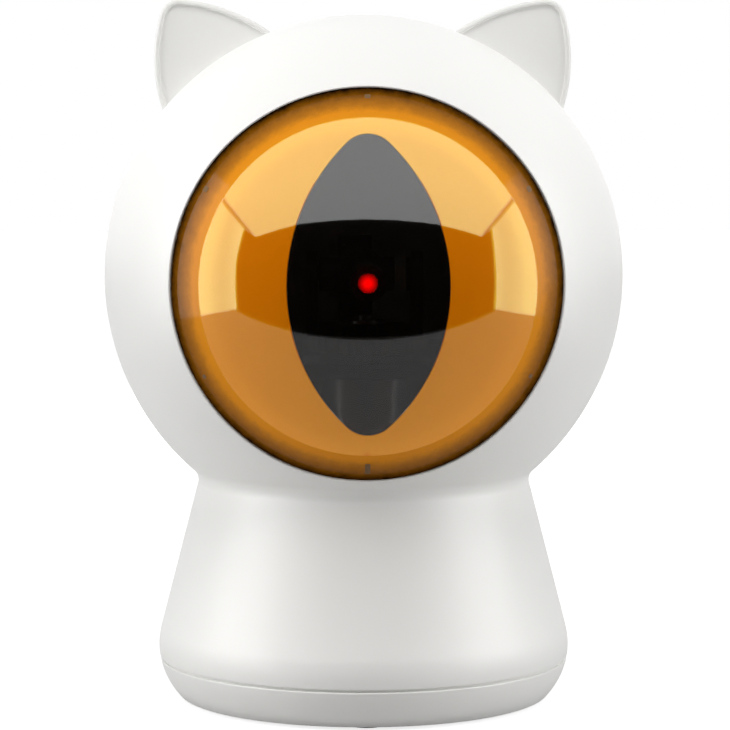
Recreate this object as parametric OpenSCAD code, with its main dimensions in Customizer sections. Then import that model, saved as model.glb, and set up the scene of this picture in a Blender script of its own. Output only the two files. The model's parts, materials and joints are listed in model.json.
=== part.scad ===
// Automatic laser toy for cats: a round head with two ears on a flared stand. A domed amber
// eye with a slit pupil covers a small laser, which pans and tilts on geared motors.
// The origin is on the floor under the middle of the stand. +Z is up, the eye looks along -Y,
// and +X is to the right of someone who looks at the eye. All sizes are in millimetres.

/* [Head] */
// Outer radius of the round head
head_r = 46; // [45:0.5:50]
// Height of the head's centre above the floor
head_z = 75.4; // [74:0.2:82]
// Thickness of the head and stand shells
wall = 2; // [1.6:0.1:2.4]
// Plane where the front and rear shells meet
split_y = 4; // [3:0.5:5]
// Depth of the lip that the front shell pushes into the rear shell
lip_depth = 2.5; // [1.5:0.5:4]
// Thickness of that lip
lip_t = 1.2; // [0.8:0.1:1.6]

/* [Stand] */
// Radius of the stand at its widest
bulge_r = 36.7; // [36:0.1:39]
// Height of the widest place
bulge_z = 9.5; // [8.5:0.1:10.5]
// Radius of the rounded lower edge, seen from the side
bulge_round = 12.7; // [11.5:0.1:13.5]
// Slope of the stand's side from the vertical, in degrees
taper = 14.5; // [12:0.5:15]
// Radius of the hollow where the stand meets the head
neck_fillet = 2.6; // [1.5:0.1:4]
// Height of the line between the bottom cover and the shells
part_z = 7.3; // [6.6:0.1:8]
// Width of that line
seam_gap = 0.3; // [0.1:0.05:0.5]
// Thickness of the bottom cover's floor
floor_t = 2; // [1.8:0.1:2.4]

/* [Feet] */
// Height of the bottom cover above the floor that the toy stands on
foot_h = 0.5; // [0.3:0.1:0.8]
// Radius of a rubber foot
foot_r = 3.5; // [3:0.1:4]
// Distance of each foot from the middle
foot_reach = 27.5; // [27:0.1:28]
// Depth of the recess that holds a foot
foot_recess = 0.8; // [0.5:0.1:1]

/* [Eye] */
// Radius of the round opening in the front shell
eye_r = 33.05; // [32:0.05:34]
// How far the dome's middle lies inside the head's round surface
dome_inset = 0; // [0:0.1:1.5]
// Outer radius of curvature of the dome's middle
dome_round = 50; // [48:0.5:54]
// Radius of the crease around the dome
crease_r = 28.1; // [27.5:0.1:28.8]
// How far the dome's edge lies inside the head's round surface
dome_sink = 0.2; // [0.2:0.1:0.8]
// Thickness of the dome
dome_t = 2; // [1.6:0.1:2.2]
// Thickness of the dome's flange
flange_t = 1.6; // [1.2:0.1:2]
// Thickness of the iris and of the pupil window
iris_t = 1; // [0.8:0.1:1.4]
// Half the width of the pupil
pupil_w = 13.4; // [10:0.1:15]
// Half the height of the pupil
pupil_h = 25; // [20:0.1:26]
// Radius of the pupil's rounded tips
pupil_tip = 4.9; // [1:0.1:6]
// Height of the pupil's middle above the eye's middle
pupil_lift = 0.3; // [0:0.1:0.5]
// Number of snap tabs around the dome
tab_count = 6; // [4:1:8]
// Width of a snap tab
tab_w = 3; // [2:0.5:4]

/* [Ears] */
// Lean of the ears away from the vertical, in degrees
ear_lean = 38; // [34:1:42]
// Plane of the ears' front faces
ear_y = 5.5; // [5:0.5:7]
// Radius of an ear's outer side
ear_side_r = 29; // [27:0.5:32]
// Radius of an ear's upper side
ear_top_r = 32.9; // [30:0.1:35]
// Radius of an ear's tip
ear_tip_r = 3.5; // [2.5:0.1:4.5]
// Radius of curvature of an ear's back
ear_back_r = 60; // [50:1:80]
// Thickness of an ear at its tip
ear_tip_t = 4; // [3:0.5:5]
// Width of the raised rim on an ear's face
ear_rim = 0.9; // [0.7:0.1:1.5]
// Depth of the face inside that rim
ear_recess = 0.4; // [0.3:0.1:1.2]

/* [Batteries] */
// Radius of a cell
cell_r = 7.25; // [7:0.05:7.4]
// Length of a cell with its nub
cell_l = 50.5; // [48:0.5:51]
// Thickness of the battery holder's walls
holder_wall = 1.4; // [1:0.1:1.6]
// How far the battery holder lies behind the middle
holder_y = 2.5; // [2.2:0.1:3]
// Room for a contact at each end of a cell
contact_room = 2.5; // [2.2:0.1:3]
// Half the width of the battery door
door_half = 17; // [16.8:0.1:17.4]
// Radius of the door's hinge barrel
barrel_r = 1.25; // [1.1:0.05:1.3]
// Radius of the door's hinge pin
hinge_pin_r = 0.5; // [0.4:0.05:0.6]

/* [Pan and tilt drives] */
// How far the pan axis lies in front of the middle
pan_reach = 8; // [7:0.5:9]
// Teeth on the pan gear
pan_teeth = 42; // [40:2:44]
// Teeth on both pinions
pinion_teeth = 14; // [13:1:15]
// Teeth that the tilt sector would have as a full gear
sector_teeth = 40; // [38:2:42]
// Module of the teeth
gear_module = 0.5; // [0.5:0.01:0.52]
// Play between meshing teeth
backlash = 0.18; // [0.14:0.02:0.22]
// Width of the gears' teeth
gear_t = 2.5; // [2:0.1:2.6]
// Thickness of the deck that carries the drives
deck_t = 2.2; // [1.8:0.1:2.4]
// Radius of the fixed post that the pan gear turns on
post_r = 3; // [2.5:0.1:3.4]
// Running clearance around every turning pin
run_gap = 0.05; // [0.03:0.01:0.08]
// Radius of the pan motor
pan_motor_r = 7.5; // [7:0.1:7.6]
// Length of the pan motor
pan_motor_l = 9.5; // [8:0.5:12]
// Radius of the tilt motor
tilt_motor_r = 5; // [4.5:0.1:5.2]
// Length of the tilt motor
tilt_motor_l = 9.5; // [8.5:0.5:10]
// Thickness of the yoke's plate and arms
yoke_t = 2; // [1.6:0.1:2.2]
// Radius of the tilt pins
tilt_pin_r = 1.5; // [1.2:0.1:1.8]

/* [Laser] */
// Radius of the laser's barrel
barrel_tube_r = 3; // [2.6:0.1:3.2]
// Distance from the tilt axis to the barrel's front end
barrel_reach = 29; // [24:0.5:30]
// Length of the laser's barrel
barrel_tube_l = 21; // [18:0.5:22]
// Radius of the laser's lens
lens_r = 1.6; // [1.2:0.1:2]
// Height of the laser's axis above the head's centre
laser_lift = 0.6; // [0:0.1:0.8]

/* [Button and boards] */
// Radius of the power button
button_r = 5; // [4:0.1:6]
// Height of the power button
button_z = 27; // [25:0.5:29]
// How far the power button stands out
button_proud = 0.7; // [0.4:0.1:1]
// How far the power button goes in
button_travel = 0.6; // [0.4:0.1:0.8]
// Thickness of the circuit boards
board_t = 1.6; // [1:0.1:1.8]
// Height of the charging board above the floor
usb_board_z = 14.2; // [13.8:0.1:15]
// Width of the charging socket
usb_w = 9; // [8.9:0.05:9.2]
// Height of the charging socket
usb_h = 3.2; // [3.1:0.05:3.4]

/* [Screws] */
// Radius of the screws' shanks
screw_r = 1.1; // [1:0.05:1.3]
// Radius of the screws' heads
screw_head_r = 2.1; // [1.9:0.1:2.4]
// Height of the screws' heads
screw_head_h = 1.3; // [1.1:0.1:1.5]
// Radius of the small screws' shanks
small_screw_r = 0.8; // [0.7:0.05:0.9]
// Radius of the bosses that the screws go into
boss_r = 3; // [2.8:0.1:3.2]

/* [Hidden] */
$fn = 96;
big = 200;         // reaches past everything
merge = 0.4;       // how far joined shapes of one piece run into each other
slack = 0.1;       // gap between fixed pieces that plug into each other
bond = 0.05;       // glue line between the eye's curved layers
hair = 0.002;      // keeps curves that run into each other from only touching
fit = 0.02;        // gap of a pin or shaft that is pushed home

// Stand
bulge_c = [bulge_r - bulge_round, bulge_z];
slope_out = [cos(taper), sin(taper)];
slope_up = [-sin(taper), cos(taper)];
head_c = [0, head_z];
fillet_line = bulge_c + (bulge_round + neck_fillet) * slope_out;
fillet_run = fillet_line - head_c;
fillet_up = -fillet_run * slope_up - sqrt(pow(fillet_run * slope_up, 2)
    - fillet_run * fillet_run + pow(head_r + neck_fillet, 2));
fillet_c = fillet_line + fillet_up * slope_up;
floor_top = foot_h + floor_t;

// Eye, measured forwards from the head's centre plane
dome_apex = head_r - dome_inset;
dome_c = dome_apex - dome_round;
dome_edge_r = eye_r - 0.2;
dome_edge = sqrt(pow(head_r, 2) - pow(dome_edge_r, 2)) - dome_sink;
crease = dome_c + sqrt(pow(dome_round, 2) - pow(crease_r, 2));
band_slope = (crease - dome_edge) / (dome_edge_r - crease_r);
skirt_r = dome_edge_r - dome_t;
flange_w = 2.2;          // how far the dome's flange reaches behind the opening's edge
flange_r = eye_r + flange_w;
seat = sqrt(pow(head_r - wall, 2) - pow(flange_r + 0.2, 2));
seat_w = 4;              // width of the flat seat around the opening
band_in = 14;            // the band's cone is trimmed inside this radius
iris_round = dome_round - dome_t - bond;
iris_r = skirt_r - 0.2;
ring_h = 5;              // height of the ring that clamps the dome
ring_back = seat - flange_t - ring_h;
ring_lug_t = 2;
ring_lug_r = 2.4;
ring_boss_r = 1.9;
ring_screw_r = eye_r + 4.2;
tab_in = 0.8;            // how far the snap tabs stand inwards
tab_h = 2.6;

// Batteries
cell_pitch = 2 * cell_r + 0.5;
cell_bore_r = cell_r + 0.2;
holder_half = cell_pitch / 2 + cell_bore_r + holder_wall;
holder_rear = holder_y + holder_half;
cell_z = floor_top + contact_room;
plate_t = 0.4;           // thickness of the contact plates
plate_half = cell_pitch / 2 + 4.2;
plate_w = 9;
nub_h = 1;
nub_r = 2.75;
bay_top = cell_z + cell_l + contact_room;
holder_top = bay_top + 1.6;
holder_flange_r = door_half * sqrt(2) + 0.4;
corner = holder_half - 2.4;
holder_flange_t = 2;
flange_screw_x = 20.6;
door_rear = holder_y + door_half;
hinge_y = door_rear + 1.9;
hinge_z = foot_h + barrel_r;
hinge_len = 10;          // width of the barrel on the door
lug_w = 3;               // width of each barrel on the cover
lug_x = hinge_len / 2 + lug_w / 2 + slack;
tongue_half = 4.6;       // half the width of the door's snap tongue
tongue_l = 7;
door_play = 0.3;         // gap around the door, twice as wide behind it, where its edge swings

// Drives
deck_z = holder_top;
deck_top = deck_z + deck_t;
pan_y = -pan_reach;
pinion_pitch = pinion_teeth * gear_module / 2;
pan_pitch = pan_teeth * gear_module / 2;
sector_pitch = sector_teeth * gear_module / 2;
pan_motor_y = pan_y - pan_pitch - pinion_pitch;
gear_z = deck_top + 1;
yoke_z = gear_z + gear_t;
yoke_top = yoke_z + yoke_t;
laser_z = head_z + laser_lift;
shaft_r = 0.75;
tilt_shaft_r = 0.5;
tilt_motor_y = pan_y + sector_pitch + pinion_pitch;
arm_x = 8.2;
arm_half = 4;
sector_x = 5.2;
sector_t = 2;
cradle_x = [-4.5, 1.5];
cradle_half = tilt_motor_r + 1.3;
tilt_motor_x = -6;
holder_front = 12;
holder_back = 4.4;
laser_holder_r = barrel_tube_r + 1.2;
tilt_boss_r = 3;         // boss that the sector is pushed onto

// Boards, button and light
board_y = holder_rear + 1.35;
board_back = board_y + board_t;
board_half = 13.5;
board_z = [11, 53];
board_screw_in = 3;      // how far the board's screws lie inside its edges
board_screws = [for (x = [-1, 1] * (board_half - board_screw_in),
    z = [board_z[0] + board_screw_in, board_z[1] - board_screw_in]) [x, z]];
switch_d = 3;
switch_w = 6;
switch_bore = 0.8;        // thickness of the switch behind its plunger
light_z = button_z + 2 * button_r + 1;
pipe_r = 1.4;
button_face = stand_r(button_z) + button_proud;
flange_back_r = button_r + 1.2;
button_stop = sqrt(pow(stand_r(button_z + flange_back_r) - wall / cos(taper), 2)
    - pow(flange_back_r, 2)) - slack;
button_flange_t = 1.2;
plunger_r = 1.75;
plunger_end = board_back + switch_d + 0.6;
usb_board_half = 9;
usb_board_t = 1.2;
usb_z = usb_board_z + usb_board_t + usb_h / 2;
usb_y = [board_back + 1, sqrt(pow(stand_r(usb_z) - wall / cos(taper), 2) - pow(usb_board_half, 2)) - 0.5];
usb_mouth = stand_r(usb_z) - 1.2;
usb_l = 7.4;
usb_post_x = 6.5;
usb_post_y = usb_y[0] + 2.6;

// Parts on the back of the main board, each with its width, height and thickness
side_x = board_half - 2;
chip = [10, 6, 1.4];
driver = [4, 6, 1];
coil = [3, 3, 1.2];
plug = [5, 4, 3];
capacitor_r = 2;
capacitor_l = 3.4;

// Screws
shank_l = 9;
deck_screw_l = 7;
holder_screw_l = 3.2;
board_screw_l = 3.6;
socket_screw_l = 5;
small_head_r = 1.6;
small_head_h = 1;
cover_screw_reach = 29.5;
cover_screw_angle = 30;
cover_screws = [for (sx = [-1, 1], sy = [-1, 1])
    [sx * cover_screw_reach * cos(cover_screw_angle), sy * cover_screw_reach * sin(cover_screw_angle)]];
boss_top = part_z + 11;
head_screw_reach = head_r - wall - lip_t - slack - boss_r - 1.2;
head_screw_lift = 31;
head_screws = [for (s = [-1, 1])
    [s * head_screw_reach * cos(head_screw_lift), head_z + head_screw_reach * sin(head_screw_lift)]];
head_screw_depth = 9;
plug_t = 1.4;

// Ears, seen from the front and measured from the head's centre
ear_root = head_r * [-sin(ear_lean), cos(ear_lean)];
ear_side_c = ear_root + ear_side_r * [0.69, 0.069];
ear_top_c = ear_root + ear_top_r * [-0.213, -0.611];
ear_tip_c = circles_meet(ear_side_c, ear_side_r - ear_tip_r, ear_top_c, ear_top_r - ear_tip_r);
ear_back_c = ear_root + ear_back_r * [0.138, -0.277];
ear_tip_run = ear_tip_c - ear_back_c;
ear_back_y = ear_y + ear_tip_t - sqrt(pow(ear_back_r, 2) - ear_tip_run * ear_tip_run);
tenon = [9, 3.4];
tenon_y = ear_y + 4.5;

// ---- Shared functions ----

// The upper left meeting point of two circles
function circles_meet(a, ra, b, rb) =
    let (d = norm(b - a), along = (d * d + ra * ra - rb * rb) / (2 * d),
        off = sqrt(ra * ra - along * along), u = (b - a) / d)
    a + along * u + off * [u[1], -u[0]];

function unit(v) = v / norm(v);

// Radius of the stand's straight side at a height
function stand_r(z) = bulge_c[0] + bulge_round * cos(taper)
    - (z - bulge_z - bulge_round * sin(taper)) * tan(taper);

// Involute angle, in degrees, at a radius outside the base circle
function involute(base, r) = r <= base ? 0
    : let (a = acos(base / r)) tan(a) * 180 / PI - a;

// Half the angle that a tooth takes up at radius r
function half_tooth(teeth, pitch, r) =
    let (base = pitch * cos(20))
    90 / teeth - backlash * 90 / (PI * pitch) + involute(base, pitch) - involute(base, r);

// ---- Shared shapes ----

module rod_y(r, y0, y1) { translate([0, y0, 0]) rotate([-90, 0, 0]) cylinder(r = r, h = y1 - y0); }

module rod_x(r, x0, x1) { translate([x0, 0, 0]) rotate([0, 90, 0]) cylinder(r = r, h = x1 - x0); }

// Stands a shape on the head's centre with its +Z turned to the front
module face_front() { translate([0, 0, head_z]) rotate([90, 0, 0]) children(); }

// Draws a flat shape of the XZ plane as a slab between two Y planes
module slab_y(y0, y1) { translate([0, y1, 0]) rotate([90, 0, 0]) linear_extrude(y1 - y0) children(); }

module rounded_square(half_x, half_y, r) {
    square([2 * half_x, 2 * (half_y - r)], center = true);
    square([2 * (half_x - r), 2 * half_y], center = true);
    for (x = [-1, 1], y = [-1, 1]) translate([x * (half_x - r), y * (half_y - r)]) circle(r);
}

// A pan-head screw with its head's underside at the origin and its shank down -Z
module screw(shank, length, head, head_h) {
    translate([0, 0, -length]) cylinder(r = shank, h = length + merge);
    difference() {
        cylinder(r = head, h = head_h);
        for (a = [0, 90]) rotate(a) translate([-head * 0.6, -head * 0.12, head_h * 0.5])
            cube([head * 1.2, head * 0.24, head_h]);
    }
}

module small_screw(length) { screw(small_screw_r - slack, length, small_head_r, small_head_h); }

// Half of the toy's outline, moved inwards by inset, to the right of the middle line
module outline(inset) {
    // the straight side lies inside the curves by a hair, so that it crosses them and doesn't just touch
    tangent = bulge_c + (bulge_round - inset - hair) * slope_out;
    inside_head = tangent + (head_z - head_r * 0.5 - tangent[1]) / slope_up[1] * slope_up;
    reach = neck_fillet + inset + 3;
    to_head = reach * unit(head_c - fillet_c);
    to_stand = -reach * slope_out;
    intersection() {
        translate([0, foot_h]) square([big, big]);
        union() {
            translate(head_c) circle(head_r - inset);
            translate(bulge_c) circle(bulge_round - inset);
            polygon([[0, foot_h], [bulge_c[0], foot_h], bulge_c, tangent, inside_head,
                [0, inside_head[1]]]);
            difference() {
                polygon([fillet_c, fillet_c + to_head, fillet_c + to_head + to_stand,
                    fillet_c + to_stand]);
                translate(fillet_c) circle(neck_fillet + inset + 2 * hair);
            }
        }
    }
}

module form(inset) { rotate_extrude() outline(inset); }

module front_half() { translate([-big, -2 * big, -big]) cube([2 * big, 2 * big + split_y, 2 * big]); }

module rear_half() { translate([-big, split_y + slack / 2, -big]) cube(2 * big); }

module above(z) { translate([-big, -big, z]) cube(2 * big); }

// A boss for a bottom cover screw, with a rib to the wall
module cover_boss(p) {
    difference() {
        intersection() {
            form(wall / 2);
            above(part_z + seam_gap / 2);
            union() {
                translate([p[0], p[1], 0]) cylinder(r = boss_r, h = boss_top);
                rotate(atan2(p[1], p[0])) translate([cover_screw_reach, -0.7, 0])
                    cube([big, 1.4, boss_top - 2]);
            }
        }
        translate([p[0], p[1], 0]) cylinder(r = screw_r - slack, h = boss_top - 1.5);
    }
}

// ---- Casing ----

module front_shell() {
    color("white") {
        difference() {
            intersection() {
                form(0);
                front_half();
                above(part_z + seam_gap / 2);
            }
            difference() {
                form(wall);
                // flat seat around the eye opening for the dome's flange
                face_front() translate([0, 0, seat]) cylinder(r = eye_r + seat_w, h = big);
            }
            face_front() cylinder(r = eye_r, h = big);
            for (a = [45:90:315]) ring_screw_hole(a);
        }
        // lip that centres the rear shell
        intersection() {
            difference() {
                form(wall + slack);
                form(wall + slack + lip_t);
            }
            translate([-big, split_y - 2, boss_top + 2]) cube([2 * big, 2 + lip_depth, 2 * big]);
        }
        intersection() {
            difference() {
                form(wall - merge);
                form(wall + slack + lip_t / 2);
            }
            translate([-big, split_y - 2, boss_top + 2]) cube([2 * big, 2, 2 * big]);
        }
        for (p = cover_screws) if (p[1] < 0) cover_boss(p);
        for (p = head_screws) head_boss(p, true);
        for (a = [45:90:315]) ring_boss(a);
    }
}

// A boss along Y for a screw that joins the two shells
module head_boss(p, front) {
    far = sqrt(pow(head_r - wall / 2, 2) - pow(head_screw_reach, 2));
    difference() {
        intersection() {
            form(wall / 2);
            translate([p[0], 0, p[1]]) rod_y(boss_r, front ? -far - boss_r : split_y,
                front ? split_y : far + boss_r);
        }
        if (front) translate([p[0], 0, p[1]])
            rod_y(screw_r - slack, split_y - head_screw_depth, split_y + 1);
        else shell_screw_hole(p);
    }
}

module shell_screw_hole(p) {
    translate([p[0], 0, p[1]]) {
        rod_y(screw_r + slack, split_y - 1, big);
        rod_y(screw_head_r + 0.2, split_y + 3, big);
    }
}

// A boss behind the eye opening's edge for a screw of the dome ring
module ring_boss(a) {
    difference() {
        intersection() {
            form(wall / 2);
            face_front() rotate(a) translate([ring_screw_r, 0, ring_back + ring_lug_t])
                cylinder(r = ring_boss_r, h = big);
        }
        face_front() cylinder(r = eye_r, h = big);
        ring_screw_hole(a);
    }
}

module ring_screw_hole(a) {
    face_front() rotate(a) translate([ring_screw_r, 0, ring_back])
        cylinder(r = small_screw_r - slack, h = ring_h + 0.2);
}

module rear_shell() {
    color("white") {
        difference() {
            intersection() {
                form(0);
                rear_half();
                above(part_z + seam_gap / 2);
            }
            form(wall);
            for (side = [0, 1]) mirror([side, 0, 0]) ear_tenon(slack);
            for (p = head_screws) shell_screw_hole(p);
            translate([0, 0, button_z]) rod_y(button_r + slack, 0, big);
            translate([0, 0, light_z]) rod_y(pipe_r + slack, 0, big);
            socket_shape(0.4, 0, big);
        }
        for (p = cover_screws) if (p[1] > 0) cover_boss(p);
        for (p = head_screws) translate([0, slack / 2, 0]) head_boss(p, false);
    }
}

module bottom_cover() {
    color("white") difference() {
        union() {
            difference() {
                intersection() {
                    form(0);
                    translate([-big, -big, 0]) cube([2 * big, 2 * big, part_z - seam_gap / 2]);
                }
                intersection() { form(wall); above(floor_top); }
            }
            // lip behind the shells' lower edge, thickened down to the floor
            intersection() {
                difference() { form(wall + slack); form(wall + slack + lip_t); }
                translate([-big, -big, floor_top]) cube([2 * big, 2 * big, part_z + lip_depth - floor_top]);
            }
            intersection() {
                difference() { form(wall - merge); form(wall + slack + lip_t / 2); }
                translate([-big, -big, floor_top - merge])
                    cube([2 * big, 2 * big, part_z - seam_gap / 2 - floor_top + merge]);
            }
            for (p = cover_screws) translate([p[0], p[1], foot_h])
                cylinder(r = boss_r, h = part_z - foot_h);
            for (x = [-1, 1]) translate([x * usb_post_x, usb_post_y, foot_h])
                cylinder(r = 2, h = usb_board_z - foot_h);
            for (x = [-1, 1]) translate([x * lug_x, hinge_y, hinge_z]) hinge_lug();
        }
        for (p = cover_screws) translate([p[0], p[1], 0]) {
            cylinder(r = screw_r + slack, h = big);
            cylinder(r = screw_head_r + 0.2, h = floor_top + 1.2);
        }
        // relief for the shells' bosses and their ribs
        translate([0, 0, part_z - seam_gap / 2]) linear_extrude(big)
            for (p = cover_screws) rotate(atan2(p[1], p[0])) translate([cover_screw_reach, 0]) {
                circle(boss_r + 0.3);
                translate([0, -1.1]) square([big, 2.2]);
            }
        for (x = [-1, 1]) translate([x * usb_post_x, usb_post_y, usb_board_z - 5])
            cylinder(r = small_screw_r - slack, h = 6);
        for (a = [0:90:270]) rotate(a) translate([foot_reach, 0, 0])
            cylinder(r = foot_r + slack / 2, h = foot_h + foot_recess);
        for (x = [-1, 1]) translate([x * flange_screw_x, holder_y, floor_top - 1.4])
            cylinder(r = small_screw_r - slack, h = 3);
        door_gap();
    }
}

// The opening in the bottom cover that the battery door closes
module door_gap() {
    translate([0, holder_y + door_play / 2, 0]) linear_extrude(floor_top)
        rounded_square(door_half + door_play, door_half + 1.5 * door_play, 1.5);
    difference() {
        translate([-lug_x - lug_w / 2 - door_play, hinge_y - 2 * barrel_r, 0])
            cube([2 * lug_x + lug_w + 2 * door_play, 3 * barrel_r + 0.4, floor_top]);
        for (x = [-1, 1]) translate([x * lug_x, hinge_y, hinge_z]) hinge_lug();
    }
    translate([0, hinge_y, hinge_z]) rod_x(hinge_pin_r + fit, -hinge_len / 2 - lug_w - 1,
        hinge_len / 2 + lug_w + 1);
}

module hinge_lug() {
    difference() {
        union() {
            rod_x(barrel_r, -lug_w / 2, lug_w / 2);
            translate([-lug_w / 2, 0, -barrel_r]) cube([lug_w, barrel_r + 1.2, floor_top - foot_h]);
        }
        rod_x(hinge_pin_r + fit, -lug_w, lug_w);
    }
}

module rubber_feet() {
    color("dimgray") for (a = [0:90:270]) rotate(a) translate([foot_reach, 0, 0])
        cylinder(r = foot_r, h = foot_h + foot_recess);
}

// ---- Ears ----

module ear_face(shrink) {
    p = ear_side_c + ear_side_r * unit(ear_tip_c - ear_side_c);
    q = ear_top_c + ear_top_r * unit(ear_tip_c - ear_top_c);
    intersection() {
        translate(ear_side_c) circle(ear_side_r - shrink);
        translate(ear_top_c) circle(ear_top_r - shrink);
        translate(p) rotate(atan2(q[1] - p[1], q[0] - p[0])) translate([-big, -big])
            square([2 * big, big - 0.1]);
    }
    // the tip's arc stands out by a hair, so that the three arcs cross and don't just touch
    translate(ear_tip_c) circle(ear_tip_r - shrink + 0.01);
}

module ear_tenon(gap) {
    translate([0, tenon_y, head_z]) rotate([0, -ear_lean, 0])
        translate([-tenon[0] / 2 - gap, -tenon[1] / 2 - gap, head_r - wall - 2.4 - gap])
            cube([tenon[0] + 2 * gap, tenon[1] + 2 * gap, 5 + gap]);
}

module left_ear() {
    color("whitesmoke") {
        difference() {
            intersection() {
                translate([0, 0, head_z]) slab_y(ear_y, ear_y + 30) ear_face(0);
                translate([ear_back_c[0], ear_back_y, head_z + ear_back_c[1]]) sphere(ear_back_r);
            }
            translate([0, 0, head_z]) sphere(head_r + bond);
            translate([0, 0, head_z]) slab_y(ear_y - 1, ear_y + ear_recess) ear_face(ear_rim);
        }
        ear_tenon(0);
    }
}

module right_ear() { mirror([1, 0, 0]) left_ear(); }

// ---- Eye ----

module eye_dome() {
    band_top = crease + (crease_r - band_in) * band_slope;
    color("orange", 0.4) face_front() {
        difference() {
            rotate_extrude() difference() {
                union() {
                    intersection() {
                        translate([0, dome_c]) circle(dome_round);
                        polygon([[0, seat - flange_t], [dome_edge_r, seat - flange_t],
                            [dome_edge_r, dome_edge], [band_in, band_top], [0, band_top]]);
                    }
                    translate([skirt_r - merge, seat - flange_t])
                        square([flange_r - skirt_r + merge, flange_t]);
                }
                intersection() {
                    translate([0, dome_c]) circle(dome_round - dome_t);
                    square([skirt_r, big]);
                }
            }
        }
        // snap tabs on the inside of the skirt
        for (i = [0:tab_count - 1]) rotate(90 + i * 360 / tab_count)
            translate([skirt_r - tab_in, -tab_w / 2, seat - flange_t + 1])
                cube([tab_in + merge, tab_w, tab_h]);
    }
}

module pupil_shape(grow) {
    w = pupil_w + grow;
    h = pupil_h + grow;
    t = pupil_tip + grow;
    side_r = (pow(h - t, 2) + w * w - t * t) / (2 * (w - t));
    cut = (h - t) * side_r / (side_r - t);
    translate([0, pupil_lift]) {
        intersection() {
            translate([w - side_r, 0]) circle(side_r);
            translate([side_r - w, 0]) circle(side_r);
            square([4 * w, 2 * cut], center = true);
        }
        for (s = [-1, 1]) translate([0, s * (h - t)]) circle(t + hair);
    }
}

// The curved layer behind the dome, out to a radius
module eye_layer(r) {
    rotate_extrude() intersection() {
        difference() {
            translate([0, dome_c]) circle(iris_round);
            translate([0, dome_c]) circle(iris_round - iris_t);
        }
        square([r, big]);
    }
}

module iris() {
    color("goldenrod") face_front() difference() {
        eye_layer(iris_r);
        linear_extrude(big) pupil_shape(slack);
    }
}

module pupil_window() {
    color("black") face_front() intersection() {
        eye_layer(pupil_h + 1);
        linear_extrude(big) pupil_shape(0);
    }
}

module dome_ring() {
    color("black") intersection() {
        form(wall + 0.3);
        face_front() ring_form();
    }
}

module ring_form() {
    difference() {
        union() {
            translate([0, 0, ring_back]) cylinder(r = flange_r - 0.3, h = ring_h);
            for (a = [45:90:315]) rotate(a) translate([0, -ring_lug_r, ring_back])
                cube([ring_screw_r, 2 * ring_lug_r, ring_lug_t]);
            for (a = [45:90:315]) rotate(a) translate([ring_screw_r, 0, ring_back])
                cylinder(r = ring_lug_r, h = ring_lug_t);
        }
        translate([0, 0, ring_back - 1]) cylinder(r = skirt_r, h = big);
        for (a = [45:90:315]) rotate(a) translate([ring_screw_r, 0, 0])
            cylinder(r = small_screw_r + slack, h = big);
    }
}

module dome_ring_screws() {
    color("silver") for (a = [45:90:315]) face_front() rotate(a)
        translate([ring_screw_r, 0, ring_back]) rotate([180, 0, 0]) small_screw(ring_h);
}

// ---- Batteries ----

// Middle of each cell, with 1 where its nub is up and -1 where it is down
cells = [[1, 1, 1], [-1, 1, -1], [-1, -1, 1], [1, -1, -1]];
function cell_at(c) = [c[0] * cell_pitch / 2, holder_y + c[1] * cell_pitch / 2];

module battery_holder() {
    color("gainsboro") difference() {
        union() {
            translate([0, holder_y, floor_top]) linear_extrude(holder_top - floor_top)
                rounded_square(holder_half, holder_half, 3);
            translate([0, holder_y, floor_top]) linear_extrude(holder_flange_t) intersection() {
                circle(holder_flange_r);
                square([big, 2 * door_half + 6], center = true);
            }
            for (p = board_screws) translate([p[0], 0, p[1]]) rod_y(2.2, holder_rear - merge, board_y);
        }
        for (c = cells) translate([cell_at(c)[0], cell_at(c)[1], 0]) cylinder(r = cell_bore_r, h = bay_top);
        for (row = [-1, 1]) translate([0, holder_y + row * cell_pitch / 2, bay_top - plate_t - slack])
            linear_extrude(plate_t + slack) rounded_square(plate_half + slack, plate_w / 2 + slack, 1.5);
        // room for the contacts that the door carries
        translate([0, holder_y, floor_top - 1]) linear_extrude(cell_z - floor_top + 1.2)
            rounded_square(holder_half - holder_wall, holder_half - holder_wall, 2);
        // room for the door's hinge
        translate([-lug_x - lug_w, hinge_y - 3.5, 0]) cube([2 * (lug_x + lug_w), 7, floor_top + 0.9]);
        for (x = [-1, 1], y = [-1, 1]) translate([x * corner, holder_y + y * corner, deck_top - deck_screw_l - 1])
            cylinder(r = small_screw_r - slack, h = deck_screw_l);
        for (x = [-1, 1]) translate([x * flange_screw_x, holder_y, 0])
            cylinder(r = small_screw_r + slack, h = floor_top + 3);
        for (p = board_screws) translate([p[0], 0, p[1]])
            rod_y(small_screw_r - slack, board_y - 2.4, board_y + 1);
    }
}

module battery(c) {
    color("seagreen") translate([cell_at(c)[0], cell_at(c)[1], cell_z + cell_l / 2])
        rotate([c[2] > 0 ? 0 : 180, 0, 0]) translate([0, 0, -cell_l / 2]) {
            cylinder(r = cell_r, h = cell_l - nub_h);
            cylinder(r = nub_r, h = cell_l);
        }
}

module battery_1() { battery(cells[0]); }
module battery_2() { battery(cells[1]); }
module battery_3() { battery(cells[2]); }
module battery_4() { battery(cells[3]); }

// A contact plate for two cells side by side, and a raised button under each nub
module contact_plate(row, z, up) {
    translate([0, holder_y + row * cell_pitch / 2, z]) linear_extrude(plate_t)
        rounded_square(plate_half, plate_w / 2, 1.5);
    for (c = cells) if (c[1] == row && c[2] == up)
        translate([cell_at(c)[0], cell_at(c)[1],
            up > 0 ? z - contact_room + plate_t + slack : z + plate_t - merge / 2])
            cylinder(r = nub_r - 0.3, h = contact_room - plate_t - slack + merge / 2);
}

module holder_contacts() { color("silver") for (row = [-1, 1]) contact_plate(row, bay_top - plate_t, 1); }

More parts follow.
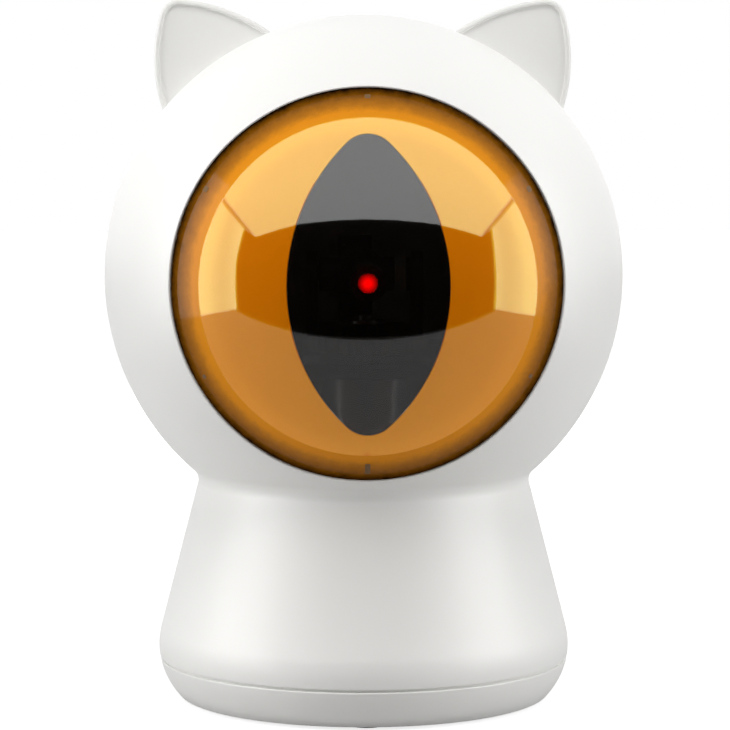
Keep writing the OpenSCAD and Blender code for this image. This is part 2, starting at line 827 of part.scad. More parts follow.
module door_contacts() { color("silver") for (row = [-1, 1]) contact_plate(row, floor_top, -1); }

// A conical coil spring from z = 0 to its height
module cone_spring(low_r, high_r, height, turns) {
    wire = 0.35;
    sides = 6;
    steps = 14;
    n = steps * turns;
    rings = [for (i = [0:n]) let (t = i / n, a = i * 360 / steps, r = low_r + (high_r - low_r) * t)
        for (k = [0:sides - 1]) let (b = k * 360 / sides)
            [(r + wire * cos(b)) * cos(a), (r + wire * cos(b)) * sin(a),
                wire + (height - 2 * wire) * t + wire * sin(b)]];
    sides_faces = [for (i = [0:n - 1], k = [0:sides - 1]) let (k2 = (k + 1) % sides)
        [i * sides + k, i * sides + k2, (i + 1) * sides + k2]];
    more_faces = [for (i = [0:n - 1], k = [0:sides - 1]) let (k2 = (k + 1) % sides)
        [i * sides + k, (i + 1) * sides + k2, (i + 1) * sides + k]];
    start_face = [[for (k = [sides - 1:-1:0]) k]];
    end_face = [[for (k = [0:sides - 1]) n * sides + k]];
    polyhedron(rings, concat(sides_faces, more_faces, start_face, end_face));
}

spring_h = contact_room - plate_t - bond;

module holder_springs() {
    color("silver") for (c = cells) if (c[2] < 0)
        translate([cell_at(c)[0], cell_at(c)[1], bay_top - plate_t]) rotate([180, 0, 0])
            cone_spring(4, 2.2, spring_h, 2);
}

module door_springs() {
    color("silver") for (c = cells) if (c[2] > 0)
        translate([cell_at(c)[0], cell_at(c)[1], floor_top + plate_t]) cone_spring(4, 2.2, spring_h, 2);
}

module battery_door() {
    color("white") difference() {
        union() {
            translate([0, holder_y, foot_h]) linear_extrude(floor_t)
                rounded_square(door_half, door_half, 1.2);
            translate([-hinge_len / 2, door_rear - 1, foot_h])
                cube([hinge_len, hinge_y - door_rear + 1, floor_t]);
            translate([0, hinge_y, hinge_z]) rod_x(barrel_r, -hinge_len / 2, hinge_len / 2);
        }
        translate([0, hinge_y, hinge_z]) rod_x(hinge_pin_r + run_gap, -hinge_len, hinge_len);
        // slot around the snap tongue, and a dent for a fingernail
        translate([0, holder_y - door_half, 0]) {
            for (x = [-1, 1]) translate([x * tongue_half - 0.4, -1, 0]) cube([0.8, tongue_l + 1, big]);
            translate([-3, 2.4, 0]) cube([6, 2.4, foot_h + 0.8]);
        }
    }
}

module door_hinge_pin() {
    color("silver") translate([0, hinge_y, hinge_z])
        rod_x(hinge_pin_r, -hinge_len / 2 - lug_w, hinge_len / 2 + lug_w);
}

// ---- Pan and tilt mount ----

module gear_shape(teeth, bore) {
    pitch = teeth * gear_module / 2;
    tip = pitch + 0.9 * gear_module;
    root = pitch - 1.25 * gear_module;
    heights = [root, pitch - 0.3 * gear_module, pitch + 0.3 * gear_module, tip];
    difference() {
        polygon([for (i = [0:teeth - 1]) each concat(
            [for (h = heights) let (a = i * 360 / teeth - half_tooth(teeth, pitch, h)) h * [cos(a),
                sin(a)]],
            [for (k = [3:-1:0]) let (h = heights[k], a = i * 360 / teeth + half_tooth(teeth, pitch, h))
                h * [cos(a), sin(a)]])]);
        circle(bore);
    }
}

// Turns a shape about Z into one about X, with its local X along +Y
module about_x(x) { translate([x, 0, 0]) rotate([90, 0, 90]) children(); }

module deck() {
    color("dimgray") difference() {
        union() {
            translate([0, 0, deck_z]) linear_extrude(deck_t) deck_outline();
            translate([0, pan_y, deck_z]) cylinder(r = post_r, h = yoke_top + slack - deck_z);
            translate([0, pan_y, deck_z]) cylinder(r = post_r + 2, h = gear_z - slack - deck_z);
        }
        translate([0, pan_y, deck_z + 1]) cylinder(r = small_screw_r - slack, h = big);
        translate([0, pan_motor_y, 0]) cylinder(r = 2.4, h = big);
        for (x = [-1, 1]) translate([x * (pan_motor_r + 2), pan_motor_y, 0])
            cylinder(r = small_screw_r + slack, h = big);
        for (x = [-1, 1], y = [-1, 1]) translate([x * corner, holder_y + y * corner, 0])
            cylinder(r = small_screw_r + slack, h = big);
    }
}

module deck_outline() {
    translate([0, holder_y]) rounded_square(holder_half + 1, holder_half + 1, 4);
    translate([0, (pan_y + pan_motor_y) / 2])
        rounded_square(pan_motor_r + 5, (pan_y - pan_motor_y) / 2 + 7, 4);
}

module pan_motor() {
    color("silver") difference() {
        translate([0, pan_motor_y, 0]) {
            translate([0, 0, deck_z - pan_motor_l]) cylinder(r = pan_motor_r, h = pan_motor_l - 0.4);
            translate([0, 0, deck_z - 1]) linear_extrude(1) {
                square([2 * pan_motor_r + 4, 5], center = true);
                for (x = [-1, 1]) translate([x * (pan_motor_r + 2), 0]) circle(2.5);
                circle(5);
            }
        }
        translate([0, pan_motor_y, deck_z - 3]) cylinder(r = shaft_r + run_gap, h = big);
        for (x = [-1, 1]) translate([x * (pan_motor_r + 2), pan_motor_y, deck_z - 2])
            cylinder(r = small_screw_r - slack, h = big);
    }
}

module pan_motor_shaft() {
    color("gray") translate([0, pan_motor_y, deck_z - 3 + slack])
        cylinder(r = shaft_r, h = yoke_z - deck_z + 3 - slack);
}

module pan_pinion() {
    color("ivory") translate([0, pan_motor_y, gear_z]) linear_extrude(gear_t)
        rotate(90) gear_shape(pinion_teeth, shaft_r + fit);
}

module pan_gear() {
    color("ivory") translate([0, pan_y, gear_z]) linear_extrude(gear_t)
        rotate(-90 + 180 / pan_teeth) gear_shape(pan_teeth, post_r + run_gap);
}

module yoke() {
    tail = tilt_motor_y + cradle_half;
    color("darkslategray") difference() {
        union() {
            translate([-arm_x - yoke_t, pan_y - arm_half, yoke_z])
                cube([2 * (arm_x + yoke_t), 2 * arm_half, yoke_t]);
            translate([cradle_x[0], pan_y, yoke_z]) cube([cradle_x[1] - cradle_x[0], tail - pan_y, yoke_t]);
            for (s = [-1, 1]) translate([s * (arm_x + yoke_t / 2), pan_y, 0]) {
                translate([-yoke_t / 2, -arm_half, yoke_z]) cube([yoke_t, 2 * arm_half, laser_z - yoke_z]);
                translate([0, 0, laser_z]) rod_x(arm_half, -yoke_t / 2, yoke_t / 2);
            }
            translate([cradle_x[0], tilt_motor_y - cradle_half, yoke_z])
                cube([cradle_x[1] - cradle_x[0], 2 * cradle_half, laser_z - yoke_z]);
            translate([0, tilt_motor_y, laser_z]) rod_x(cradle_half, cradle_x[0], cradle_x[1]);
        }
        translate([0, pan_y, 0]) cylinder(r = post_r + run_gap, h = yoke_top + 1);
        translate([0, pan_y, laser_z]) rod_x(tilt_pin_r + run_gap, -big / 2, big / 2);
        translate([0, tilt_motor_y, laser_z]) rod_x(tilt_motor_r + fit, -big / 2, big / 2);
    }
}

module pan_washer() {
    color("silver") translate([0, pan_y, yoke_top + slack]) difference() {
        cylinder(r = post_r + 0.8, h = 0.5);
        translate([0, 0, -1]) cylinder(r = small_screw_r + slack, h = 3);
    }
}

module pan_screw() {
    color("silver") translate([0, pan_y, yoke_top + slack + 0.5])
        screw(small_screw_r - slack, 6, small_head_r, 0.9);
}

module tilt_motor() {
    color("silver") translate([0, tilt_motor_y, laser_z]) difference() {
        rod_x(tilt_motor_r, tilt_motor_x, tilt_motor_x + tilt_motor_l);
        rod_x(tilt_shaft_r + run_gap, tilt_motor_x + tilt_motor_l - 3, big);
    }
}

module tilt_motor_shaft() {
    color("gray") translate([0, tilt_motor_y, laser_z])
        rod_x(tilt_shaft_r, tilt_motor_x + tilt_motor_l - 2.9, sector_x + sector_t);
}

module tilt_pinion() {
    color("ivory") translate([0, tilt_motor_y, laser_z]) about_x(sector_x - 0.2)
        linear_extrude(sector_t + 0.4)
        rotate(180) gear_shape(pinion_teeth, tilt_shaft_r + fit);
}

module tilt_sector() {
    reach = sector_pitch + 2;
    color("ivory") translate([0, pan_y, laser_z]) about_x(sector_x) linear_extrude(sector_t) difference() {
        union() {
            intersection() {
                rotate(180 / sector_teeth) gear_shape(sector_teeth, 0.5);
                polygon([[0, 0], reach * [cos(-32), sin(-32)], [reach, -reach / 3], [reach, reach / 3],
                    reach * [cos(26), sin(26)]]);
            }
            circle(laser_holder_r);
        }
        circle(tilt_boss_r + fit);
    }
}

module laser_holder() {
    color("dimgray") translate([0, pan_y, laser_z]) difference() {
        union() {
            rod_y(laser_holder_r, -holder_front, holder_back);
            rod_x(tilt_boss_r, -arm_x + 0.2, arm_x - 0.2);
            rod_x(tilt_pin_r, -arm_x - yoke_t, arm_x + yoke_t);
        }
        rod_y(barrel_tube_r + fit, -big, big);
    }
}

module laser_barrel() {
    color("goldenrod") translate([0, pan_y, laser_z]) difference() {
        rod_y(barrel_tube_r, -barrel_reach, barrel_tube_l - barrel_reach);
        rod_y(lens_r + fit, -barrel_reach - 1, -barrel_reach + 1.2);
        rod_y(barrel_tube_r - 0.7, -barrel_reach + 3, barrel_tube_l - barrel_reach + 1);
    }
}

module laser_lens() {
    color("red") translate([0, pan_y, laser_z]) rod_y(lens_r, -barrel_reach + 0.1, -barrel_reach + 1.2);
}

module laser_board() {
    color("green") translate([0, pan_y, laser_z])
        rod_y(barrel_tube_r - 0.05, barrel_tube_l - barrel_reach + 0.05,
            barrel_tube_l - barrel_reach + 1.05);
}

// ---- Boards, button and light ----

module main_board() {
    color("darkgreen") difference() {
        translate([-board_half, board_y, board_z[0]])
            cube([2 * board_half, board_t, board_z[1] - board_z[0]]);
        for (p = board_screws) translate([p[0], 0, p[1]])
            rod_y(small_screw_r + slack, board_y - 1, board_back + 1);
    }
}

// A flat part on the board's back, with its lower left corner at x and z
module board_part(x, z, size) { translate([x, board_back, z]) cube([size[0], size[2], size[1]]); }

module board_parts() {
    color("black") {
        board_part(-chip[0] / 2, light_z + 4, chip);
        board_part(-side_x, button_z + 1, driver);
        board_part(button_r + 2.5, button_z + 3, coil);
        board_part(side_x - plug[0], board_z[0] + 9, plug);
        translate([capacitor_r + 0.5 - side_x, 0, board_z[0] + 10])
            rod_y(capacitor_r, board_back, board_back + capacitor_l);
    }
}

module push_switch() {
    color("black") difference() {
        translate([-switch_w / 2, board_back, button_z - switch_w / 2])
            cube([switch_w, switch_d, switch_w]);
        translate([0, 0, button_z]) rod_y(plunger_r + run_gap, board_back + switch_bore, big);
    }
}

module switch_plunger() {
    color("dimgray") translate([0, 0, button_z])
        rod_y(plunger_r, board_back + switch_bore + button_travel + slack, plunger_end);
}

module power_button() {
    color("lightgray") translate([0, 0, button_z]) {
        rod_y(button_r, button_stop - merge, button_face);
        rod_y(flange_back_r, button_stop - button_flange_t, button_stop);
        rod_y(2, plunger_end, button_stop);
    }
}

module status_led() { color("lime") translate([-1, board_back, light_z - 1]) cube([2, 0.8, 2]); }

module light_pipe() {
    color("white", 0.6) translate([0, 0, light_z]) {
        rod_y(pipe_r, board_back + 1, stand_r(light_z) - 0.1);
        rod_y(pipe_r + 0.8, board_back + 1, board_back + 2.2);
    }
}

module charging_board() {
    color("darkgreen") difference() {
        translate([-usb_board_half, usb_y[0], usb_board_z])
            cube([2 * usb_board_half, usb_y[1] - usb_y[0], usb_board_t]);
        for (x = [-1, 1]) translate([x * usb_post_x, usb_post_y, 0])
            cylinder(r = small_screw_r + slack, h = big);
    }
}

// The socket's rounded outline, grown by gap, between two Y planes
module socket_shape(gap, y0, y1) {
    translate([0, 0, usb_z]) slab_y(y0, y1) socket_outline(gap);
}

module socket_outline(gap) {
    for (s = [-1, 1]) translate([s * (usb_w - usb_h) / 2, 0]) circle(usb_h / 2 + gap);
    square([usb_w - usb_h, usb_h + 2 * gap], center = true);
}

module charging_socket() {
    color("silver") {
        difference() {
            socket_shape(0, usb_mouth - usb_l, usb_mouth);
            socket_shape(-0.35, usb_mouth - usb_l + 1, usb_mouth + 1);
        }
        translate([-3.3, usb_mouth - usb_l + 0.8, usb_z - 0.35]) cube([6.6, usb_l - 2, 0.7]);
    }
}

// ---- Fasteners ----

module cover_screws() {
    color("silver") for (p = cover_screws) translate([p[0], p[1], floor_top + 1.2]) rotate([180, 0, 0])
        screw(screw_r - slack, shank_l, screw_head_r, screw_head_h);
}

module shell_screws() {
    color("silver") for (p = head_screws) translate([p[0], split_y + 3 + slack / 2, p[1]])
        rotate([-90, 0, 0])
        screw(screw_r - slack, shank_l, screw_head_r, screw_head_h);
}

// Small caps that close the holes over the shell screws
module screw_plugs() {
    color("white") intersection() {
        for (p = head_screws) translate([p[0], 0, p[1]]) rod_y(screw_head_r + 0.1, split_y, big / 2);
        difference() { form(0.2); form(plug_t); }
    }
}

module holder_screws() {
    color("silver") for (x = [-1, 1]) translate([x * flange_screw_x, holder_y, floor_top + holder_flange_t])
        small_screw(holder_screw_l);
}

module deck_screws() {
    color("silver") for (x = [-1, 1], y = [-1, 1]) translate([x * corner, holder_y + y * corner, deck_top])
        small_screw(deck_screw_l);
}

module motor_screws() {
    color("silver") for (x = [-1, 1]) translate([x * (pan_motor_r + 2), pan_motor_y, deck_top])
        small_screw(deck_t + 0.9);
}

module board_screws() {
    color("silver") {
        for (p = board_screws) translate([p[0], board_back, p[1]]) rotate([-90, 0, 0])
            small_screw(board_screw_l);
        for (x = [-1, 1]) translate([x * usb_post_x, usb_post_y, usb_board_z + usb_board_t])
            small_screw(socket_screw_l);
    }
}

front_shell();
rear_shell();
bottom_cover();
rubber_feet();
left_ear();
right_ear();
eye_dome();
iris();
pupil_window();
dome_ring();
dome_ring_screws();
battery_holder();
battery_1();
battery_2();
battery_3();
battery_4();
holder_contacts();
holder_springs();
battery_door();
door_contacts();
door_springs();
door_hinge_pin();
deck();
pan_motor();
pan_motor_shaft();
pan_pinion();
pan_gear();
yoke();
pan_washer();
pan_screw();
tilt_motor();
tilt_motor_shaft();
tilt_pinion();
tilt_sector();
laser_holder();
laser_barrel();
laser_lens();
laser_board();
main_board();
board_parts();
push_switch();
switch_plunger();
power_button();
status_led();
light_pipe();
charging_board();
charging_socket();
cover_screws();
shell_screws();
screw_plugs();
holder_screws();
deck_screws();
motor_screws();
board_screws();
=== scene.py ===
# Looks of the automatic cat laser toy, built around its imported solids.
# Shapes are worked out in millimetres, in the frame of the solids, and become metres in the meshes.
import json
import math

import bmesh
import bpy
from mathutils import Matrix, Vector


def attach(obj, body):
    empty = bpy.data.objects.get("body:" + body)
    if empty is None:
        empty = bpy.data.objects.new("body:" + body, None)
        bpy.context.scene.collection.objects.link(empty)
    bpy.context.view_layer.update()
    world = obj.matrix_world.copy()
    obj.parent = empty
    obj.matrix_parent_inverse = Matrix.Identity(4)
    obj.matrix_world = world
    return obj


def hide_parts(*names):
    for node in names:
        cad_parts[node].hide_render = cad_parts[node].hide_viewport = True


MM = 0.001

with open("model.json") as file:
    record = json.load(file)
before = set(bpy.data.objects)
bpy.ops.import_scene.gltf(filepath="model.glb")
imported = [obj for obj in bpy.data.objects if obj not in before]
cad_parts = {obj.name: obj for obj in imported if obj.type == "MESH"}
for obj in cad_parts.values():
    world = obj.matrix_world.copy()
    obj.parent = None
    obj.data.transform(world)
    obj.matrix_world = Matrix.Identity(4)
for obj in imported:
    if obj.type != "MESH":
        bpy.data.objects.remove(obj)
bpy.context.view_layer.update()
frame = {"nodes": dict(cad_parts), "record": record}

# ---------------------------------------------------------------- sizes, as in the solids
# head and stand
HEAD_R = 46.0
HEAD_Z = 75.4
WALL = 2.0
SPLIT_Y = 4.0
SPLIT_GAP = 0.14
PART_Z = 7.3
SEAM_GAP = 0.3
SEAM_DEPTH = 0.45
FOOT_H = 0.5
FLOOR_TOP = 2.5
EDGE = 0.3
TAPER = math.radians(14.5)
BULGE_C = (24.0, 9.5)
BULGE_ROUND = 12.7
NECK_FILLET = 2.6

# eye; heights run forwards from the head's centre
EYE_R = 33.05
RIM_ROUND = 0.22
CREASE_ROUND = 0.2
DOME_ROUND = 50.0
DOME_C = -4.0
CREASE_R = 28.1
DOME_EDGE_R = 32.85
DOME_EDGE = 32.0
DOME_CORNER = 0.3
DOME_DARK_R = 31.8
FLANGE_R = 35.1
SEAT = 26.06
SKIRT_BACK = 24.5
IRIS_ROUND = 47.95
IRIS_R = 30.65
PUPIL_W = 13.4
PUPIL_H = 25.0
PUPIL_TIP = 4.9
PUPIL_LIFT = 0.3

# laser, above the head's centre
LASER_LIFT = 0.6
LENS_R = 1.6

# ears
EAR_Y = 5.5
EAR_SIDE_R = 29.0
EAR_TOP_R = 32.9
EAR_TIP_R = 3.5
EAR_BACK_R = 60.0
EAR_TIP_T = 4.0
EAR_RIM = 0.9
EAR_RECESS = 0.4
EAR_ROOT_A = math.radians(38)
EAR_MIDDLE = (-25.5, 37.0)
EAR_FACE_EDGE = 0.4
EAR_RIM_EDGE = 0.2
EAR_WALL_EDGE = 0.1
EAR_BACK_EDGE = 0.9

# button, light and socket in the rear shell
BUTTON_Z = 27.0
BUTTON_R = 5.0
LIGHT_Z = 38.0
PIPE_R = 1.4
SOCKET_Z = 17.0
SOCKET_W = 9.0
SOCKET_H = 3.2
BUTTON_GAP = 0.15
PIPE_GAP = 0.1
SOCKET_GAP = 0.4

# bottom cover, with the openings for the door, its hinge, the feet and the screws
HOLDER_Y = 2.5
DOOR_GAP = 0.15
DOOR_HOLE = (17.3, 17.45)
DOOR_HOLE_ROUND = 1.5
HINGE_Y = 21.4
HINGE_Z = 1.75
HINGE_HOLE = ((-8.5, 18.9), (8.5, 18.9), (8.5, 23.05), (-8.5, 23.05))
LUG_X = 6.6
LUG_HALF = 1.5
LUG_R = 1.25
LUG_BORE = 0.52
LUG_EDGE = 0.15
WEB_Y = (HINGE_Y + 0.9, 23.4)
COVER_EDGE = 0.4
COVER_LIP = (2.15, 3.3)
COVER_LIP_TOP = 9.7
COVER_LIP_FOOT = 5
COVER_STEP = 0.28
FOOT_REACH = 27.5
FOOT_HOLE_R = 3.52
FOOT_HOLE_TOP = 1.3
SCREW_HOLE_R = 2.3
COVER_SCREW_TOP = 3.7
COVER_SCREWS = [(sx * 25.548, sy * 14.75) for sx in (-1, 1) for sy in (-1, 1)]

# the two screws at the back of the head, as seen from behind
HEAD_SCREW_REACH = 38.01
HEAD_SCREW_A = math.radians(31)
HEAD_SCREWS = [(s * HEAD_SCREW_REACH * math.cos(HEAD_SCREW_A),
                HEAD_Z + HEAD_SCREW_REACH * math.sin(HEAD_SCREW_A)) for s in (-1, 1)]

# fineness of turned shapes and of round holes
ROUND_SEGMENTS = 256
HOLE_SIDES = 48

# ---------------------------------------------------------------- mesh helpers


def arc(cx, cy, r, a0, a1, n):
    """Points of an arc from angle a0 to a1, in degrees."""
    out = []
    for i in range(n + 1):
        a = math.radians(a0 + (a1 - a0) * i / n)
        out.append((cx + r * math.cos(a), cy + r * math.sin(a)))
    return out


def line(p, q, n):
    """Points between p and q, without q."""
    return [(p[0] + (q[0] - p[0]) * i / n, p[1] + (q[1] - p[1]) * i / n) for i in range(n)]


def new_object(name, bm):
    """An object from a bmesh in millimetres."""
    mesh = bpy.data.meshes.new(name)
    bm.to_mesh(mesh)
    bm.free()
    mesh.transform(((MM, 0, 0, 0), (0, MM, 0, 0), (0, 0, MM, 0), (0, 0, 0, 1)))
    obj = bpy.data.objects.new(name, mesh)
    bpy.context.scene.collection.objects.link(obj)
    return obj


def strip(bm, low, high):
    """Faces between two closed rings of vertices, of which one may be a single tip."""
    n = max(len(low), len(high))
    if n == 1:
        return
    for k in range(n):
        k2 = (k + 1) % n
        if len(low) == 1:
            bm.faces.new((low[0], high[k2], high[k]))
        elif len(high) == 1:
            bm.faces.new((low[k], low[k2], high[0]))
        else:
            bm.faces.new((low[k], low[k2], high[k2], high[k]))


def capped(bm, low, high):
    """A closed bar between two rings of vertices."""
    strip(bm, low, high)
    bm.faces.new(low[::-1])
    bm.faces.new(high)


def lathe(profile, segments, place, closed=True):
    """A turned mesh. place maps (radius, height, angle) to a point."""
    bm = bmesh.new()
    rings = []
    for r, h in profile:
        if r < 1e-6:
            rings.append([bm.verts.new(place(0.0, h, 0.0))])
        else:
            rings.append([bm.verts.new(place(r, h, 2 * math.pi * k / segments))
                          for k in range(segments)])
    count = len(rings) if closed else len(rings) - 1
    for i in range(count):
        strip(bm, rings[i], rings[(i + 1) % len(rings)])
    bmesh.ops.recalc_face_normals(bm, faces=bm.faces)
    return bm


def about_z(r, h, a):
    """Turned about the toy's upright axis."""
    return (r * math.cos(a), r * math.sin(a), h)


def about_y(r, h, a):
    """Turned about the eye's axis: h runs forwards from the head's centre."""
    return (r * math.cos(a), -h, HEAD_Z + r * math.sin(a))


def bm_join(target, source):
    """Adds the faces of one bmesh to another."""
    made = {v: target.verts.new(v.co) for v in source.verts}
    for f in source.faces:
        face = target.faces.new([made[v] for v in f.verts])
        face.material_index = f.material_index
    source.free()


def smooth(obj, degrees=35):
    """Smooth shading that keeps edges sharper than the given angle."""
    mesh = obj.data
    mesh.shade_smooth()
    mesh.set_sharp_from_angle(angle=math.radians(degrees))
    return obj


def cut(obj, cutters):
    """Cuts the cutters' shapes out of an object and removes them."""
    for c in cutters:
        mod = obj.modifiers.new("cut", "BOOLEAN")
        mod.operation = "DIFFERENCE"
        mod.solver = "EXACT"
        mod.object = c
    bpy.context.view_layer.update()
    dg = bpy.context.evaluated_depsgraph_get()
    mesh = bpy.data.meshes.new_from_object(obj.evaluated_get(dg))
    obj.modifiers.clear()
    old = obj.data
    obj.data = mesh
    mesh.name = obj.name
    bpy.data.meshes.remove(old)
    for c in cutters:
        data = c.data
        bpy.data.objects.remove(c)
        bpy.data.meshes.remove(data)
    return obj


def rod(name, r, start, end, sides):
    """A plain round cutter between two points."""
    bm = bmesh.new()
    a, b = Vector(start), Vector(end)
    axis = (b - a).normalized()
    side = axis.cross(Vector((0.3, 0.5, 0.8))).normalized()
    up = axis.cross(side)
    turns = [2 * math.pi * k / sides for k in range(sides)]
    low = [bm.verts.new(a + r * (side * math.cos(t) + up * math.sin(t))) for t in turns]
    high = [bm.verts.new(b + r * (side * math.cos(t) + up * math.sin(t))) for t in turns]
    capped(bm, low, high)
    bmesh.ops.recalc_face_normals(bm, faces=bm.faces)
    return new_object(name, bm)


def prism(name, outline, low, high, place):
    """A straight cutter from a closed flat outline; place maps (u, v, height) to a point."""
    bm = bmesh.new()
    a = [bm.verts.new(place(u, v, low)) for u, v in outline]
    b = [bm.verts.new(place(u, v, high)) for u, v in outline]
    capped(bm, a, b)
    bmesh.ops.recalc_face_normals(bm, faces=bm.faces)
    return new_object(name, bm)


def rounded_box(half_u, half_v, r, n=8):
    """Outline of a rectangle with round corners."""
    out = []
    for cx, cy, a in ((1, 1, 0), (-1, 1, 90), (-1, -1, 180), (1, -1, 270)):
        out += arc(cx * (half_u - r), cy * (half_v - r), r, a, a + 90, n)
    return out


# ------------------------------------------------------------ the stand's side, seen in section
SLOPE_OUT = (math.cos(TAPER), math.sin(TAPER))
SLOPE_UP = (-math.sin(TAPER), math.cos(TAPER))
line_c = (BULGE_C[0] + (BULGE_ROUND + NECK_FILLET) * SLOPE_OUT[0],
          BULGE_C[1] + (BULGE_ROUND + NECK_FILLET) * SLOPE_OUT[1])
run = (line_c[0], line_c[1] - HEAD_Z)
along = run[0] * SLOPE_UP[0] + run[1] * SLOPE_UP[1]
rise = -along - math.sqrt(along ** 2 - run[0] ** 2 - run[1] ** 2 + (HEAD_R + NECK_FILLET) ** 2)
FILLET_C = (line_c[0] + rise * SLOPE_UP[0], line_c[1] + rise * SLOPE_UP[1])
to_head = math.degrees(math.atan2(HEAD_Z - FILLET_C[1], -FILLET_C[0])) % 360


def stand_section(z0):
    """(radius, height, outward radius part, outward height part) from height z0 up to the head."""
    rows = []
    a0 = math.degrees(math.asin((z0 - BULGE_C[1]) / BULGE_ROUND))
    for i in range(13):
        a = math.radians(a0 + (math.degrees(TAPER) - a0) * i / 12)
        rows.append((BULGE_C[0] + BULGE_ROUND * math.cos(a),
                     BULGE_C[1] + BULGE_ROUND * math.sin(a),
                     math.cos(a), math.sin(a)))
    foot = (FILLET_C[0] - NECK_FILLET * SLOPE_OUT[0], FILLET_C[1] - NECK_FILLET * SLOPE_OUT[1])
    base = rows[-1]
    for i in range(1, 29):
        t = i / 28
        rows.append((base[0] + (foot[0] - base[0]) * t, base[1] + (foot[1] - base[1]) * t,
                     SLOPE_OUT[0], SLOPE_OUT[1]))
    start = 180 + math.degrees(TAPER)
    for i in range(1, 15):
        a = math.radians(start + (to_head - start) * i / 14)
        rows.append((FILLET_C[0] + NECK_FILLET * math.cos(a),
                     FILLET_C[1] + NECK_FILLET * math.sin(a),
                     -math.cos(a), -math.sin(a)))
    # a short way into the head
    last = rows[-1]
    for d in (0.4, 1.0):
        rows.append((last[0] - d * last[2] * 0.9, last[1] - d * last[3] + d * 0.3,
                     last[2], last[3]))
    return rows


def surface_normal(p):
    """Outward direction of the toy's round outer skin near a point, or None away from it."""
    x, y, z = p
    bulge_top, slope_foot = 14, 12
    best, where = 0.03, None
    v = Vector((x, y, z - HEAD_Z))
    off = abs(v.length - HEAD_R)
    r = math.hypot(x, y)
    if r < 1e-6:
        return v.normalized() if off < best else None
    if off < best:
        best, where = off, v.normalized()
    u = (r - BULGE_C[0], z - BULGE_C[1])
    d = math.hypot(*u)
    low = math.atan2(u[1], u[0]) < TAPER + 0.02 and z < bulge_top
    if abs(d - BULGE_ROUND) < best and low:
        best = abs(d - BULGE_ROUND)
        where = Vector((x / r * u[0] / d, y / r * u[0] / d, u[1] / d))
    side = u[0] * SLOPE_OUT[0] + u[1] * SLOPE_OUT[1] - BULGE_ROUND
    if abs(side) < best and slope_foot < z < FILLET_C[1] + 0.5:
        best = abs(side)
        where = Vector((x / r * SLOPE_OUT[0], y / r * SLOPE_OUT[0], SLOPE_OUT[1]))
    u = (FILLET_C[0] - r, FILLET_C[1] - z)
    d = math.hypot(*u)
    if abs(d - NECK_FILLET) < best and u[0] > 0:
        where = Vector((x / r * u[0] / d, y / r * u[0] / d, u[1] / d))
    return where


def true_normals(obj):
    """Shades the outer skin with its exact directions, so that no facet shows."""
    mesh = obj.data
    mesh.shade_smooth()
    vertex = [surface_normal(v.co / MM) for v in mesh.vertices]
    loops = [None] * len(mesh.loops)
    for poly in mesh.polygons:
        for li in poly.loop_indices:
            n = vertex[mesh.loops[li].vertex_index]
            if n is None or n.dot(poly.normal) < 0.93:
                n = poly.normal
            loops[li] = n.copy()
    mesh.normals_split_custom_set(loops)
    return obj


def half_stand(front):
    """Half of the stand's wall as a closed shape, its edges rounded where it meets other pieces."""
    section = stand_section(PART_Z + SEAM_GAP / 2 + EDGE)
    plane = SPLIT_Y - SPLIT_GAP / 2 if front else SPLIT_Y + SPLIT_GAP / 2
    edge = plane - EDGE if front else plane + EDGE
    toward = Vector((0, 1 if front else -1, 0))
    down = Vector((0, 0, -1))
    columns = 150
    turns = [math.pi / 2 * k / 4 for k in range(1, 5)]

    def rounding(p, n, way):
        """Points round the wall's edge from a point of the skin, and the corner behind them."""
        t = (way - n * way.dot(n)).normalized()
        out = [p + t * EDGE * math.sin(q) - n * EDGE * (1 - math.cos(q)) for q in turns]
        return out + [p + t * EDGE - n * WALL]

    points, normals = [], []
    for r, z, nr, nz in section:
        a = math.asin(edge / r)
        a0, a1 = (a, -math.pi - a) if front else (a, math.pi - a)
        prow, nrow = [], []
        for j in range(columns + 1):
            t = a0 + (a1 - a0) * j / columns
            prow.append(Vector((r * math.cos(t), r * math.sin(t), z)))
            nrow.append(Vector((nr * math.cos(t), nr * math.sin(t), nz)))
        # rounded edges at both ends of the row
        first = rounding(prow[0], nrow[0], toward)
        last = rounding(prow[-1], nrow[-1], toward)
        points.append(first[::-1] + prow + last)
        normals.append([nrow[0]] * len(first) + nrow + [nrow[-1]] * len(last))
    # rounded lower edge
    below = [rounding(p, n, down) for p, n in zip(points[0], normals[0])]
    lower = [list(row) for row in zip(*below)]
    points = lower[::-1] + points
    normals = [normals[0]] * len(lower) + normals
    top = [p - n * WALL for p, n in zip(points[-1], normals[-1])]
    points.append(top)
    normals.append(normals[-1])
    bm = bmesh.new()
    rows, cols = len(points), len(points[0])
    outer = [[bm.verts.new(p) for p in row] for row in points]
    inner = []
    for i in range(rows):
        row = []
        for j in range(cols):
            if i in (0, rows - 1) or j in (0, cols - 1):
                row.append(outer[i][j])
            else:
                row.append(bm.verts.new(points[i][j] - normals[i][j] * WALL))
        inner.append(row)
    for i in range(rows - 1):
        for j in range(cols - 1):
            bm.faces.new((outer[i][j], outer[i][j + 1],
                          outer[i + 1][j + 1], outer[i + 1][j]))
            bm.faces.new((inner[i][j], inner[i + 1][j],
                          inner[i + 1][j + 1], inner[i][j + 1]))
    bmesh.ops.remove_doubles(bm, verts=bm.verts, dist=1e-5)
    bmesh.ops.recalc_face_normals(bm, faces=bm.faces)
    return bm


# ---------------------------------------------------------------- casing


